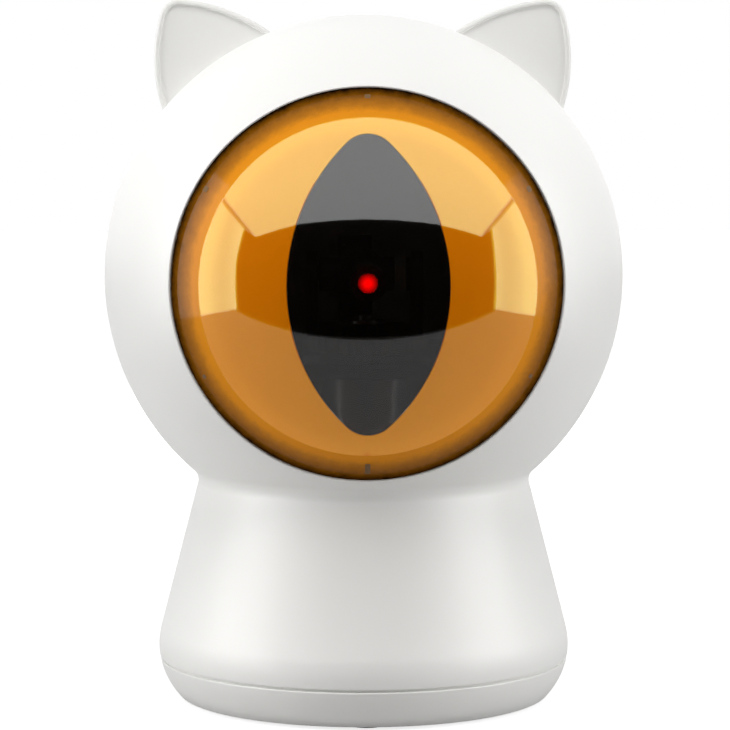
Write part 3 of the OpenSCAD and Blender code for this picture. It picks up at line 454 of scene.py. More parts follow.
def head_front():
    """Front of the head: a ring turned about the eye's axis, from the seam to the eye opening."""
    y_split = -(SPLIT_Y - SPLIT_GAP / 2)
    # rounded seam edge
    rc = HEAD_R - EDGE
    hc = y_split + EDGE
    seam_r = math.sqrt(rc ** 2 - hc ** 2)
    seam_a = math.degrees(math.atan2(hc, seam_r))
    profile = arc(seam_r, hc, EDGE, -90, seam_a, 6)
    # rounded lip of the opening, between the round skin and the opening's wall
    lip_r = EYE_R + RIM_ROUND
    lip_h = math.sqrt((HEAD_R - RIM_ROUND) ** 2 - lip_r ** 2)
    lip_a = math.degrees(math.atan2(lip_h, lip_r))
    profile += arc(0, 0, HEAD_R, seam_a, lip_a, 90)[1:]
    profile += arc(lip_r, lip_h, RIM_ROUND, lip_a, 180, 10)[1:]
    profile += line((EYE_R, lip_h), (EYE_R, SEAT), 6)[1:]
    profile += [(EYE_R, SEAT), (math.sqrt((HEAD_R - WALL) ** 2 - SEAT ** 2), SEAT)]
    inner_a = math.degrees(math.asin(SEAT / (HEAD_R - WALL)))
    end_a = math.degrees(math.asin(y_split / (HEAD_R - WALL)))
    profile += arc(0, 0, HEAD_R - WALL, inner_a, end_a, 30)[1:]
    return lathe(profile, ROUND_SEGMENTS, about_y)


def head_rear():
    """Rear of the head, from the seam to its pole."""
    y_split = -(SPLIT_Y + SPLIT_GAP / 2)
    rc = HEAD_R - EDGE
    hc = y_split - EDGE
    seam_r = math.sqrt(rc ** 2 - hc ** 2)
    seam_a = math.degrees(math.atan2(hc, seam_r))
    profile = arc(seam_r, hc, EDGE, 90, seam_a, 6)
    profile += arc(0, 0, HEAD_R, seam_a, -90, 90)[1:-1]
    profile += [(0, -HEAD_R), (0, -HEAD_R + WALL)]
    end_a = math.degrees(math.asin(y_split / (HEAD_R - WALL)))
    profile += arc(0, 0, HEAD_R - WALL, -90, end_a, 40)[1:]
    return lathe(profile, ROUND_SEGMENTS, about_y)


def shell(name, node, front):
    """The front or rear shell: its half of the head and its half of the stand."""
    head = new_object(name, head_front() if front else head_rear())
    stand = new_object(name + "_stand", half_stand(front))
    if not front:
        cutters = [rod("c", SCREW_HOLE_R, (x, 30, z), (x, 10, z), HOLE_SIDES)
                   for x, z in HEAD_SCREWS]
        cut(head, cutters)
        near, far = 20, 60
        cutters = [rod("c", BUTTON_R + BUTTON_GAP, (0, near, BUTTON_Z), (0, far, BUTTON_Z), 96),
                   rod("c", PIPE_R + PIPE_GAP, (0, near, LIGHT_Z), (0, far, LIGHT_Z), 40)]
        half = (SOCKET_W - SOCKET_H) / 2
        outline = (arc(half, 0, SOCKET_H / 2 + SOCKET_GAP, -90, 90, 16)
                   + arc(-half, 0, SOCKET_H / 2 + SOCKET_GAP, 90, 270, 16))
        cutters.append(prism("c", outline, near, far, lambda u, v, h: (u, h, SOCKET_Z + v)))
        cut(stand, cutters)
    true_normals(head)
    true_normals(stand)
    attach(head, "housing")
    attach(stand, "housing")
    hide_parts(node)
    return [head, stand]


def cover():
    """The bottom cover, with its lip, the door's opening and its recesses."""
    top = PART_Z - SEAM_GAP / 2

    def at(z, inset):
        return BULGE_C[0] + math.sqrt((BULGE_ROUND - inset) ** 2 - (z - BULGE_C[1]) ** 2)

    profile = [(0, FOOT_H), (10, FOOT_H), (20, FOOT_H), (30, FOOT_H)]
    # rounded lower edge
    round_r = BULGE_ROUND - COVER_EDGE
    a_low = math.degrees(math.asin((FOOT_H + COVER_EDGE - BULGE_C[1]) / round_r))
    cx = BULGE_C[0] + round_r * math.cos(math.radians(a_low))
    profile += arc(cx, FOOT_H + COVER_EDGE, COVER_EDGE, -90, a_low, 6)
    a_high = math.degrees(math.asin((top - EDGE - BULGE_C[1]) / (BULGE_ROUND - EDGE)))
    profile += arc(BULGE_C[0], BULGE_C[1], BULGE_ROUND, a_low, a_high, 24)[1:]
    cx = BULGE_C[0] + (BULGE_ROUND - EDGE) * math.cos(math.radians(a_high))
    profile += arc(cx, top - EDGE, EDGE, a_high, 90, 6)[1:]
    # the shoulder under the seam, and the lip that plugs into the shells
    step = top + COVER_STEP
    outer, inner = COVER_LIP
    for z, inset in ((top, SEAM_DEPTH), (step, SEAM_DEPTH), (step, outer), (COVER_LIP_TOP, outer),
                     (COVER_LIP_TOP, inner), (COVER_LIP_FOOT, inner), (FLOOR_TOP, inner)):
        profile.append((at(z, inset), z))
    profile.append((0, FLOOR_TOP))
    obj = new_object("bottom_cover_skin", lathe(profile, ROUND_SEGMENTS, about_z))

    def upright(u, v, h):
        return (u, v, h)

    below, above = -5, 6
    door = [(u, v + HOLDER_Y + DOOR_GAP) for u, v in rounded_box(*DOOR_HOLE, DOOR_HOLE_ROUND)]
    cutters = [prism("c", door, below, above, upright)]
    cutters += [rod("c", SCREW_HOLE_R, (x, y, below), (x, y, COVER_SCREW_TOP), HOLE_SIDES)
                for x, y in COVER_SCREWS]
    for a in (0, math.pi / 2, math.pi, 3 * math.pi / 2):
        x, y = FOOT_REACH * math.cos(a), FOOT_REACH * math.sin(a)
        cutters.append(rod("c", FOOT_HOLE_R, (x, y, below), (x, y, FOOT_HOLE_TOP), HOLE_SIDES))
    cutters.append(prism("c", HINGE_HOLE, below, above, upright))
    cut(obj, cutters)
    # the two barrels that hold the hinge pin
    bm = bmesh.new()
    end = LUG_HALF
    profile = [(LUG_BORE, -end), (LUG_R - LUG_EDGE, -end), (LUG_R, LUG_EDGE - end),
               (LUG_R, end - LUG_EDGE), (LUG_R - LUG_EDGE, end), (LUG_BORE, end)]
    for x0 in (-LUG_X, LUG_X):
        bm_join(bm, lathe(profile, 40, lambda r, h, a, x0=x0: (
            x0 + h, HINGE_Y + r * math.cos(a), HINGE_Z + r * math.sin(a))))
        near, far = WEB_Y
        web = [(x0 - end, near), (x0 + end, near), (x0 + end, far), (x0 - end, far)]
        low = [bm.verts.new((x, y, FOOT_H)) for x, y in web]
        high = [bm.verts.new((x, y, FLOOR_TOP)) for x, y in web]
        capped(bm, low, high)
    lugs = new_object("cover_hinge_barrels", bm)
    true_normals(obj)
    smooth(lugs)
    for o in (obj, lugs):
        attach(o, "housing")
    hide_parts("bottom_cover")
    return [obj, lugs]


# ---------------------------------------------------------------- ears
# Seen from the front and measured from the head's centre. The root is where the ear's middle
# leaves the head, and the centres of its curves lie at shares of their radii from there.
EAR_ROOT = (-HEAD_R * math.sin(EAR_ROOT_A), HEAD_R * math.cos(EAR_ROOT_A))
SIDE_SHARE = (0.69, 0.069)
TOP_SHARE = (-0.213, -0.611)
BACK_SHARE = (0.138, -0.277)


def from_root(radius, share):
    """A point at shares of a radius from an ear's root."""
    return (EAR_ROOT[0] + radius * share[0], EAR_ROOT[1] + radius * share[1])


SIDE_C = from_root(EAR_SIDE_R, SIDE_SHARE)
TOP_C = from_root(EAR_TOP_R, TOP_SHARE)
BACK_C = from_root(EAR_BACK_R, BACK_SHARE)


def meet(a, ra, b, rb):
    """One of the two points where circles about a and b meet."""
    d = math.dist(a, b)
    x = (d * d + ra * ra - rb * rb) / (2 * d)
    off = math.sqrt(ra * ra - x * x)
    u = ((b[0] - a[0]) / d, (b[1] - a[1]) / d)
    return (a[0] + x * u[0] + off * u[1], a[1] + x * u[1] - off * u[0])


TIP_C = meet(SIDE_C, EAR_SIDE_R - EAR_TIP_R, TOP_C, EAR_TOP_R - EAR_TIP_R)
BACK_Y = EAR_Y + EAR_TIP_T - math.sqrt(EAR_BACK_R ** 2 - math.dist(TIP_C, BACK_C) ** 2)


def ear_outline(shrink):
    """Outline of an ear from the head's side, round the tip and back to the head."""
    a_side = math.degrees(math.atan2(TIP_C[1] - SIDE_C[1], TIP_C[0] - SIDE_C[0]))
    a_top = math.degrees(math.atan2(TIP_C[1] - TOP_C[1], TIP_C[0] - TOP_C[0]))
    out = arc(*SIDE_C, EAR_SIDE_R - shrink, 216, a_side, 44)[:-1]
    out += arc(*TIP_C, EAR_TIP_R - shrink, a_side, a_top, 16)[:-1]
    out += arc(*TOP_C, EAR_TOP_R - shrink, a_top, 40, 48)
    return out


def ear(name, node, mirror):
    """An ear: its rimmed face, its rounded side and its domed back, in rings from front to back."""

    def back_y(u, v):
        return BACK_Y + math.sqrt(EAR_BACK_R ** 2 - (u - BACK_C[0]) ** 2 - (v - BACK_C[1]) ** 2)

    rings = []

    def ring(shrink, height, factor=1.0):
        mu, mv = EAR_MIDDLE
        pts = [(mu + (u - mu) * factor, mv + (v - mv) * factor) for u, v in ear_outline(shrink)]
        rings.append([(u, height(u, v), v) for u, v in pts])

    # face: recess floor, its wall, the raised rim and its rounded edges
    floor_y = EAR_Y + EAR_RECESS
    wall_e, rim_e, face_e, back_e = EAR_WALL_EDGE, EAR_RIM_EDGE, EAR_FACE_EDGE, EAR_BACK_EDGE
    for f in (0.15, 0.45, 0.7, 0.9, 1.0):
        ring(EAR_RIM + 0.2, lambda u, v: floor_y, f)
    for k in range(5):
        q = math.pi / 2 * k / 4
        ring(EAR_RIM + wall_e - wall_e * math.sin(q),
             lambda u, v, q=q: floor_y - wall_e * (1 - math.cos(q)))
    for k in range(5):
        q = math.pi / 2 * k / 4
        ring(EAR_RIM - rim_e * (1 - math.cos(q)),
             lambda u, v, q=q: EAR_Y + rim_e * (1 - math.sin(q)))
    for k in range(7):
        q = math.pi / 2 * k / 6
        ring(face_e * (1 - math.sin(q)),
             lambda u, v, q=q: EAR_Y + face_e * (1 - math.cos(q)))
    # side and domed back
    ring(0, lambda u, v: back_y(u, v) * 0.5 + EAR_Y * 0.5)
    for k in range(6):
        q = math.radians(75) * k / 5
        ring(back_e * (1 - math.cos(q)),
             lambda u, v, q=q: back_y(u, v) - back_e * (1 - math.sin(q)) - 0.02)
    for f in (0.9, 0.78, 0.62, 0.45, 0.25, 0.1):
        ring(0.7, back_y, f)
    bm = bmesh.new()
    sign = -1 if mirror else 1
    made = [[bm.verts.new((sign * x, y, HEAD_Z + z)) for x, y, z in r] for r in rings]
    for low, high in zip(made, made[1:]):
        strip(bm, low, high)
    bm.faces.new(made[0][::-1])
    bm.faces.new(made[-1])
    bmesh.ops.recalc_face_normals(bm, faces=bm.faces)
    obj = smooth(new_object(name, bm), 50)
    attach(obj, "housing")
    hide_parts(node)
    return obj


# ---------------------------------------------------------------- eye


def cap_h(r, radius):
    """How far a round cap centred on the dome's centre stands forwards at a radius."""
    return DOME_C + math.sqrt(radius ** 2 - r ** 2)


CREASE_H = cap_h(CREASE_R, DOME_ROUND)
BAND_SLOPE = (CREASE_H - DOME_EDGE) / (DOME_EDGE_R - CREASE_R)


def dome():
    """The clear dome: its round middle, and the sloping band that runs under the opening's lip."""
    cap_a = math.degrees(math.asin((CREASE_R - CREASE_ROUND) / DOME_ROUND))
    cap = [(0, cap_h(0, DOME_ROUND))]
    for i in range(1, 61):
        a = math.radians(cap_a * i / 60)
        cap.append((DOME_ROUND * math.sin(a), DOME_C + DOME_ROUND * math.cos(a)))
    first = cap[-1]
    last = (CREASE_R + CREASE_ROUND, CREASE_H - CREASE_ROUND * BAND_SLOPE)
    corner = (CREASE_R, CREASE_H)
    bend = []
    for i in range(7):
        t = i / 6
        bend.append(((1 - t) ** 2 * first[0] + 2 * t * (1 - t) * corner[0] + t * t * last[0],
                     (1 - t) ** 2 * first[1] + 2 * t * (1 - t) * corner[1] + t * t * last[1]))
    cap += bend[1:4]
    band = bend[3:6]
    rim_r, rim_h = DOME_EDGE_R - DOME_CORNER, DOME_EDGE + DOME_CORNER * BAND_SLOPE
    band += line(last, (rim_r, rim_h), 16)
    band += arc(rim_r, rim_h - DOME_CORNER, DOME_CORNER, 45, 0, 4)
    band += [(DOME_EDGE_R, DOME_EDGE - 1), (DOME_EDGE_R, SEAT), (FLANGE_R, SEAT),
             (FLANGE_R, SKIRT_BACK)]
    made = []
    for name, profile in (("eye_dome_skin", cap), ("eye_dome_band", band)):
        turned = lathe(profile, ROUND_SEGMENTS, about_y, closed=False)
        obj = smooth(new_object(name, turned), 30)
        for face in obj.data.polygons:
            x, _, z = face.center / MM
            face.material_index = int(math.hypot(x, z - HEAD_Z) > DOME_DARK_R)
        if obj.data.polygons[0].normal.y > 0:
            obj.data.flip_normals()
        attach(obj, "housing")
        made.append(obj)
    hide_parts("eye_dome")
    # light and reflections pass through the band as through the middle
    made[1].visible_shadow = False
    made[1].visible_glossy = False
    made[1].visible_diffuse = False
    return made


# angle round the eye, inner and outer radius, half the width
MARKS = [
    (90, 31.2, 31.9, 0.5),
    (270, 29.7, 31.6, 0.45),
    (31, 31.0, 31.8, 0.5),
    (149, 31.0, 31.8, 0.5),
    (-29, 30.9, 31.5, 0.35),
    (-151, 30.9, 31.5, 0.35)]
MARK_DEPTH = 0.3
MARK_PROUD = 0.12


def dome_marks():
    """Small tabs that show at the band: at its top and bottom, and two at either side."""
    bm = bmesh.new()
    for angle, low, high, half in MARKS:
        a = math.radians(angle)
        out, side = Vector((math.cos(a), 0, math.sin(a))), Vector((-math.sin(a), 0, math.cos(a)))
        outline = rounded_box(half, (high - low) / 2, 0.2, 4)
        low_ring, high_ring = [], []
        for u, v in outline:
            r = (low + high) / 2 + v
            h = CREASE_H - (r - CREASE_R) * BAND_SLOPE
            p = out * r + side * u + Vector((0, -h, HEAD_Z))
            low_ring.append(bm.verts.new(p + Vector((0, MARK_DEPTH, 0))))
            high_ring.append(bm.verts.new(p + Vector((0, -MARK_PROUD, 0))))
        strip(bm, low_ring, high_ring)
        bm.faces.new(high_ring)
    bmesh.ops.recalc_face_normals(bm, faces=bm.faces)
    obj = smooth(new_object("eye_dome_marks", bm))
    obj.visible_shadow = False
    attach(obj, "housing")
    return obj


def pupil_outline(grow, count=64):
    """Points round the slit pupil, four times count of them, anticlockwise from its right side."""
    w, h, t = PUPIL_W + grow, PUPIL_H + grow, PUPIL_TIP + grow
    side_r = ((h - t) ** 2 + w * w - t * t) / (2 * (w - t))
    cx = w - side_r
    a = math.degrees(math.atan2(h - t, -cx))
    quarter = arc(cx, 0, side_r, 0, a, count - 12)[:-1] + arc(0, h - t, t, a, 90, 12)
    left = [(-x, z) for x, z in reversed(quarter)][1:]
    upper = quarter + left
    lower = [(-x, -z) for x, z in upper][1:-1]
    return [(x, z + PUPIL_LIFT) for x, z in upper + lower]


def eye_point(u, v, radius):
    """A point of a round cap behind the dome."""
    return (u, -cap_h(min(math.hypot(u, v), radius - 0.01), radius), HEAD_Z + v)


def dome_normal(co):
    """Direction of the dome before a point, so that what lies behind it reflects the same."""
    u, w = co.x / MM / DOME_ROUND, (co.z / MM - HEAD_Z) / DOME_ROUND
    return Vector((u, -math.sqrt(1 - u * u - w * w), w))


def iris():
    """The lacquered iris; the edge of its slit hole is turned in."""
    bm = bmesh.new()
    hole = pupil_outline(0.04)
    rings = []

    def ring(pts, back=0.0):
        rings.append([bm.verts.new((u, back - cap_h(math.hypot(u, v), IRIS_ROUND), HEAD_Z + v))
                      for u, v in pts])

    ring(hole, 0.8)
    ring(hole, 0.22)
    ring(pupil_outline(0.1), 0.06)
    start = pupil_outline(0.26)
    ring(start)
    for i in range(1, 41):
        t = i / 40
        pts = []
        for u, v in start:
            d = math.hypot(u, v)
            cu, cv = u / d * IRIS_R, v / d * IRIS_R
            pts.append((u + (cu - u) * t, v + (cv - v) * t))
        ring(pts)
    for low, high in zip(rings, rings[1:]):
        strip(bm, low, high)
    bmesh.ops.recalc_face_normals(bm, faces=bm.faces)
    obj = smooth(new_object("iris_skin", bm), 60)
    mesh = obj.data
    if mesh.polygons[len(mesh.polygons) // 2].normal.y > 0:
        mesh.flip_normals()
    normals = [dome_normal(v.co) for v in mesh.vertices]
    loops = []
    for poly in mesh.polygons:
        for li in poly.loop_indices:
            n = normals[mesh.loops[li].vertex_index]
            loops.append(n if n.dot(poly.normal) > 0.97 else poly.normal.copy())
    mesh.normals_split_custom_set(loops)
    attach(obj, "housing")
    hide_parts("iris")
    return obj


def pupil():
    """The smoked window that fills the slit."""
    bm = bmesh.new()
    edge = pupil_outline(-0.02)
    n = len(edge)
    radius = IRIS_ROUND - 0.05
    centre = bm.verts.new(eye_point(0, 0, radius))
    rings = []
    for i in range(1, 25):
        rings.append([bm.verts.new(eye_point(u * i / 24, v * i / 24, radius)) for u, v in edge])
    for k in range(n):
        bm.faces.new((centre, rings[0][k], rings[0][(k + 1) % n]))
    for low, high in zip(rings, rings[1:]):
        strip(bm, low, high)
    bmesh.ops.recalc_face_normals(bm, faces=bm.faces)
    obj = new_object("pupil_window_skin", bm)
    if obj.data.polygons[0].normal.y > 0:
        obj.data.flip_normals()
    obj.data.shade_smooth()
    obj.data.normals_split_custom_set_from_vertices([dome_normal(v.co) for v in obj.data.vertices])
    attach(obj, "housing")
    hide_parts("pupil_window")
    return obj


# ---------------------------------------------------------------- materials


def nodes_of(name):
    """A new material, its node tree and its main shader."""
    mat = bpy.data.materials.new(name)
    mat.use_nodes = True
    tree = mat.node_tree
    return mat, tree, tree.nodes["Principled BSDF"]


def add(tree, kind, **values):
    """A node with the given inputs and settings."""
    node = tree.nodes.new(kind)
    for k, v in values.items():
        if k in node.inputs:
            node.inputs[k].default_value = v
        else:
            setattr(node, k, v)
    return node


def speckle(tree, scale, detail=3.0, rough=0.5):
    """A noise laid out in the object's own space."""
    coords = add(tree, "ShaderNodeTexCoord")
    noise = add(tree, "ShaderNodeTexNoise", Scale=scale, Detail=detail, Roughness=rough)
    tree.links.new(coords.outputs["Object"], noise.inputs["Vector"])
    return noise


def ranged(tree, source, low, high):
    """Spreads a value from 0..1 to low..high."""
    node = add(tree, "ShaderNodeMapRange")
    node.inputs["To Min"].default_value = low
    node.inputs["To Max"].default_value = high
    tree.links.new(source, node.inputs["Value"])
    return node.outputs["Result"]


def bump(tree, bsdf, source, strength, distance):
    """Relief from a value."""
    node = add(tree, "ShaderNodeBump", Strength=strength, Distance=distance)
    tree.links.new(source, node.inputs["Height"])
    tree.links.new(node.outputs["Normal"], bsdf.inputs["Normal"])


def tinted(tree, bsdf, source, a, b):
    """Base colour between two close tones."""
    mix = add(tree, "ShaderNodeMix", data_type="RGBA")
    # sockets 6 and 7 are the mix node's two colours, and 2 is the mixed one
    mix.inputs[6].default_value = (*a, 1)
    mix.inputs[7].default_value = (*b, 1)
    tree.links.new(source, mix.inputs[0])
    tree.links.new(mix.outputs[2], bsdf.inputs["Base Color"])


def plastic(name, a, b, rough, spread=0.06, grain=900, height=0.02):
    """Moulded plastic: two close tones, a fine grain and uneven gloss."""
    mat, tree, bsdf = nodes_of(name)
    tinted(tree, bsdf, speckle(tree, 40).outputs["Fac"], a, b)
    tree.links.new(ranged(tree, speckle(tree, 120).outputs["Fac"], rough - spread, rough + spread),
                   bsdf.inputs["Roughness"])
    bump(tree, bsdf, speckle(tree, grain, 2.0).outputs["Fac"], 0.15, height * MM)
    return mat


def metal(name, a, b, rough, stretch=(1, 1, 40)):
    """Metal with drawn or turned marks."""
    mat, tree, bsdf = nodes_of(name)
    bsdf.inputs["Metallic"].default_value = 1.0
    coords = add(tree, "ShaderNodeTexCoord")
    mapping = add(tree, "ShaderNodeMapping")
    mapping.inputs["Scale"].default_value = stretch
    noise = add(tree, "ShaderNodeTexNoise", Scale=300.0, Detail=4.0)
    tree.links.new(coords.outputs["Object"], mapping.inputs["Vector"])
    tree.links.new(mapping.outputs["Vector"], noise.inputs["Vector"])
    tinted(tree, bsdf, noise.outputs["Fac"], a, b)
    tree.links.new(ranged(tree, noise.outputs["Fac"], rough - 0.08, rough + 0.1),
                   bsdf.inputs["Roughness"])
    bump(tree, bsdf, noise.outputs["Fac"], 0.1, 0.02 * MM)
    return mat


def eye_radius(tree, lift=0.0):
    """Distance from the eye's axis, or from one above it, in the object's own space, in metres."""
    coords = add(tree, "ShaderNodeTexCoord")
    move = add(tree, "ShaderNodeVectorMath", operation="MULTIPLY_ADD")
    move.inputs[1].default_value = (1, 0, 1)
    move.inputs[2].default_value = (0, 0, -(HEAD_Z + lift) * MM)
    length = add(tree, "ShaderNodeVectorMath", operation="LENGTH")
    tree.links.new(coords.outputs["Object"], move.inputs[0])
    tree.links.new(move.outputs["Vector"], length.inputs[0])
    return length.outputs["Value"]


def ramp(tree, source, stops, low, high):
    """A colour ramp over a length from low to high, in mm; stops are (length, colour)."""
    spread = add(tree, "ShaderNodeMapRange")
    spread.inputs["From Min"].default_value = low * MM
    spread.inputs["From Max"].default_value = high * MM
    tree.links.new(source, spread.inputs["Value"])
    node = tree.nodes.new("ShaderNodeValToRGB")
    points = node.color_ramp.elements
    while len(points) > 1:
        points.remove(points[-1])
    for i, (value, colour) in enumerate(stops):
        point = points[0] if i == 0 else points.new(0.5)
        point.position = (value - low) / (high - low)
        point.color = (*colour, 1)
    tree.links.new(spread.outputs["Result"], node.inputs["Fac"])
    return node.outputs["Color"]


white = plastic("white_plastic", (0.85, 0.845, 0.825), (0.87, 0.865, 0.845), 0.42)
bsdf = white.node_tree.nodes["Principled BSDF"]
bsdf.inputs["Coat Weight"].default_value = 0.15
bsdf.inputs["Coat Roughness"].default_value = 0.3

# the body's white plastic, made darker for the ears: painted shade, as their forward faces get less
# light
shaded_ear_white = plastic("white_plastic_ears_shaded", (0.78, 0.775, 0.755), (0.80, 0.795, 0.775), 0.42)

# the dome only adds its reflections to the iris behind it
cap_mat, tree, bsdf = nodes_of("dome_clear")
bsdf.inputs["Base Color"].default_value = (0.012, 0.006, 0.002, 1)
bsdf.inputs["Alpha"].default_value = 0.13
bsdf.inputs["IOR"].default_value = 3.2
tree.links.new(ranged(tree, speckle(tree, 60).outputs["Fac"], 0.01, 0.04),
               bsdf.inputs["Roughness"])

# distance from the eye's axis and tone; the darkening towards the edge is painted shade
BAND_SHADE_TONES = [
    (28.1, (0.76, 0.272, 0.006)),
    (29.1, (0.72, 0.250, 0.004)),
    (30.1, (0.46, 0.160, 0.005)),
    (31.1, (0.17, 0.062, 0.007)),
    (31.6, (0.070, 0.024, 0.004)),
    (31.95, (0.036, 0.014, 0.005)),
    (32.3, (0.008, 0.003, 0.001)),
    (32.9, (0.002, 0.001, 0.001))]
MOTTLE = 1.4 * MM


def shaded_band_tone(name):
    """Amber that darkens towards the band's edge, where it is mottled: painted shade on the iris
    seen through the band near the opening's lip, down to the dark inside behind the band's edge.
    """
    mat, tree, bsdf = nodes_of(name)
    blotch = add(tree, "ShaderNodeMath", operation="MULTIPLY_ADD")
    blotch.inputs[1].default_value = MOTTLE
    blotch.inputs[2].default_value = -MOTTLE / 2
    tree.links.new(speckle(tree, 500, 4.0, 0.8).outputs["Fac"], blotch.inputs[0])
    uneven = add(tree, "ShaderNodeMath", operation="ADD")
    tree.links.new(eye_radius(tree), uneven.inputs[0])
    tree.links.new(blotch.outputs[0], uneven.inputs[1])
    tone = ramp(tree, uneven.outputs[0], BAND_SHADE_TONES, BAND_SHADE_TONES[0][0], BAND_SHADE_TONES[-1][0])
    tree.links.new(tone, bsdf.inputs["Base Color"])
    tree.links.new(ranged(tree, speckle(tree, 80).outputs["Fac"], 0.06, 0.12),
                   bsdf.inputs["Roughness"])
    return mat, bsdf


band_mat, bsdf = shaded_band_tone("dome_band")
bsdf.inputs["IOR"].default_value = 1.17
edge_mat, bsdf = shaded_band_tone("dome_band_edge")
bsdf.inputs["Specular IOR Level"].default_value = 0.0

mark_mat, tree, bsdf = nodes_of("dome_marks")
tinted(tree, bsdf, speckle(tree, 900).outputs["Fac"],
       (0.15, 0.085, 0.038), (0.20, 0.115, 0.052))
bsdf.inputs["Roughness"].default_value = 0.5
bsdf.inputs["Specular IOR Level"].default_value = 0.1

iris_mat, tree, bsdf = nodes_of("amber_lacquer")
tinted(tree, bsdf, speckle(tree, 200).outputs["Fac"],
       (0.86, 0.226, 0.001), (0.88, 0.234, 0.0014))
# painted light: a faint emitted glow in its lower half, standing in for light from below that gets
# in behind the dome
PAINTED_GLOW_LOW, PAINTED_GLOW_HIGH = 45, 75
coords = add(tree, "ShaderNodeTexCoord")
split = add(tree, "ShaderNodeSeparateXYZ")
tree.links.new(coords.outputs["Object"], split.inputs[0])
glow = ramp(tree, split.outputs["Z"], [(PAINTED_GLOW_LOW, (0.14,) * 3), (PAINTED_GLOW_HIGH, (0.0,) * 3)],
            PAINTED_GLOW_LOW, PAINTED_GLOW_HIGH)
tree.links.new(glow, bsdf.inputs["Emission Strength"])
bsdf.inputs["Emission Color"].default_value = (1.0, 0.36, 0.001, 1)
bsdf.inputs["IOR"].default_value = 1.92
bsdf.inputs["Specular Tint"].default_value = (0.82, 0.93, 0.09, 1)
tree.links.new(ranged(tree, speckle(tree, 300).outputs["Fac"], 0.04, 0.08),
               bsdf.inputs["Roughness"])

pupil_mat, tree, bsdf = nodes_of("smoked_window")
tinted(tree, bsdf, speckle(tree, 200).outputs["Fac"], (0.0008,) * 3, (0.0015,) * 3)
bsdf.inputs["Alpha"].default_value = 0.95
bsdf.inputs["IOR"].default_value = 1.3
bsdf.inputs["Roughness"].default_value = 0.05

LENS_POWER = 34.0
lens_mat, tree, bsdf = nodes_of("laser_lens_lit")
bsdf.inputs["Base Color"].default_value = (0.4, 0.0, 0.0, 1)
bsdf.inputs["Emission Color"].default_value = (1.0, 0.0, 0.0, 1)
glow = ramp(tree, eye_radius(tree, LASER_LIFT),
            [(0.0, (1,) * 3), (1.25, (0.9,) * 3), (LENS_R, (0.05,) * 3)], 0.0, LENS_R)
power = add(tree, "ShaderNodeMath", operation="MULTIPLY")
power.inputs[1].default_value = LENS_POWER
tree.links.new(glow, power.inputs[0])
tree.links.new(power.outputs[0], bsdf.inputs["Emission Strength"])

SLOTS = {
    "white_plastic": white,
    "foot_rubber": plastic("foot_rubber", (0.03,) * 3, (0.045,) * 3, 0.75, grain=1500, height=0.05),
    "clear_dome": cap_mat,
    "amber_lacquer": iris_mat,
    "smoked_window": pupil_mat,
    "black_plastic": plastic("black_plastic", (0.012,) * 3, (0.02,) * 3, 0.5),
    "screw_steel": metal("screw_steel", (0.42, 0.42, 0.42), (0.55, 0.55, 0.54), 0.32),
    "cell_jacket": plastic("cell_jacket", (0.03, 0.16, 0.09), (0.035, 0.18, 0.1), 0.25),
    "contact_metal": metal("contact_metal", (0.6, 0.6, 0.57), (0.7, 0.7, 0.66), 0.22),
    "motor_steel": metal("motor_steel", (0.5, 0.5, 0.49), (0.62, 0.62, 0.6), 0.3,
                         (40, 40, 1)),
    "gear_plastic": plastic("gear_plastic", (0.78, 0.74, 0.62), (0.82, 0.78, 0.66), 0.4),
    "laser_brass": metal("laser_brass", (0.62, 0.44, 0.18), (0.7, 0.5, 0.22), 0.25,
                         (1, 40, 1)),
    "laser_lens": lens_mat,
    "circuit_board": plastic("circuit_board", (0.01, 0.11, 0.035), (0.016, 0.14, 0.05), 0.35),
    "grey_button": plastic("grey_button", (0.60, 0.60, 0.59), (0.63, 0.63, 0.62), 0.45),
    "led_lens": plastic("led_lens", (0.5, 0.85, 0.5), (0.55, 0.9, 0.55), 0.15),
    "light_pipe": plastic("light_pipe", (0.75, 0.76, 0.75), (0.82, 0.83, 0.82), 0.3),
}


def dress(obj, mat, index=0):
    """Puts a material in one of an object's slots."""
    while len(obj.data.materials) <= index:
        obj.data.materials.append(None)
    obj.data.materials[index] = mat


slot_of = {s["node"]: s["material_slot"] for s in frame["record"]["subparts"]}
for node, obj in frame["nodes"].items():
    for i in range(max(1, len(obj.data.materials))):
        dress(obj, SLOTS[slot_of[node]], i)

for obj in shell("front_shell_skin", "front_shell", True):
    dress(obj, white)
for obj in shell("rear_shell_skin", "rear_shell", False):
    dress(obj, white)
for obj in cover():
    dress(obj, white)
dress(ear("left_ear_skin", "left_ear", False), shaded_ear_white)
dress(ear("right_ear_skin", "right_ear", True), shaded_ear_white)
dome_cap, dome_band = dome()
dress(dome_cap, cap_mat)
dress(dome_band, band_mat)
dress(dome_band, edge_mat, 1)
dress(dome_marks(), mark_mat)
dress(iris(), iris_mat)
dress(pupil(), pupil_mat)

# ---------------------------------------------------------------- camera
CAMERA_AT = (-0.01056, -0.530, 0.10507)
YAW, PITCH = 0.0204, 0.0862
cam_data = bpy.data.cameras.new("camera")
cam_data.sensor_width = 36
cam_data.lens = 146.9
cam_data.clip_start = 0.01
cam_data.clip_end = 20
cam = bpy.data.objects.new("camera", cam_data)
bpy.context.scene.collection.objects.link(cam)
look = Vector((math.sin(YAW) * math.cos(PITCH), math.cos(YAW) * math.cos(PITCH), -math.sin(PITCH)))
cam.location = CAMERA_AT
cam.rotation_mode = "QUATERNION"
cam.rotation_quaternion = look.to_track_quat("-Z", "Y")
bpy.context.scene.camera = cam

# ---------------------------------------------------------------- floor, background and lamps


def only_reflected(obj):
    """Hides an object from everything but reflections."""
    obj.visible_camera = False
    obj.visible_diffuse = False
    obj.visible_transmission = False
    obj.visible_volume_scatter = False
    obj.visible_shadow = False


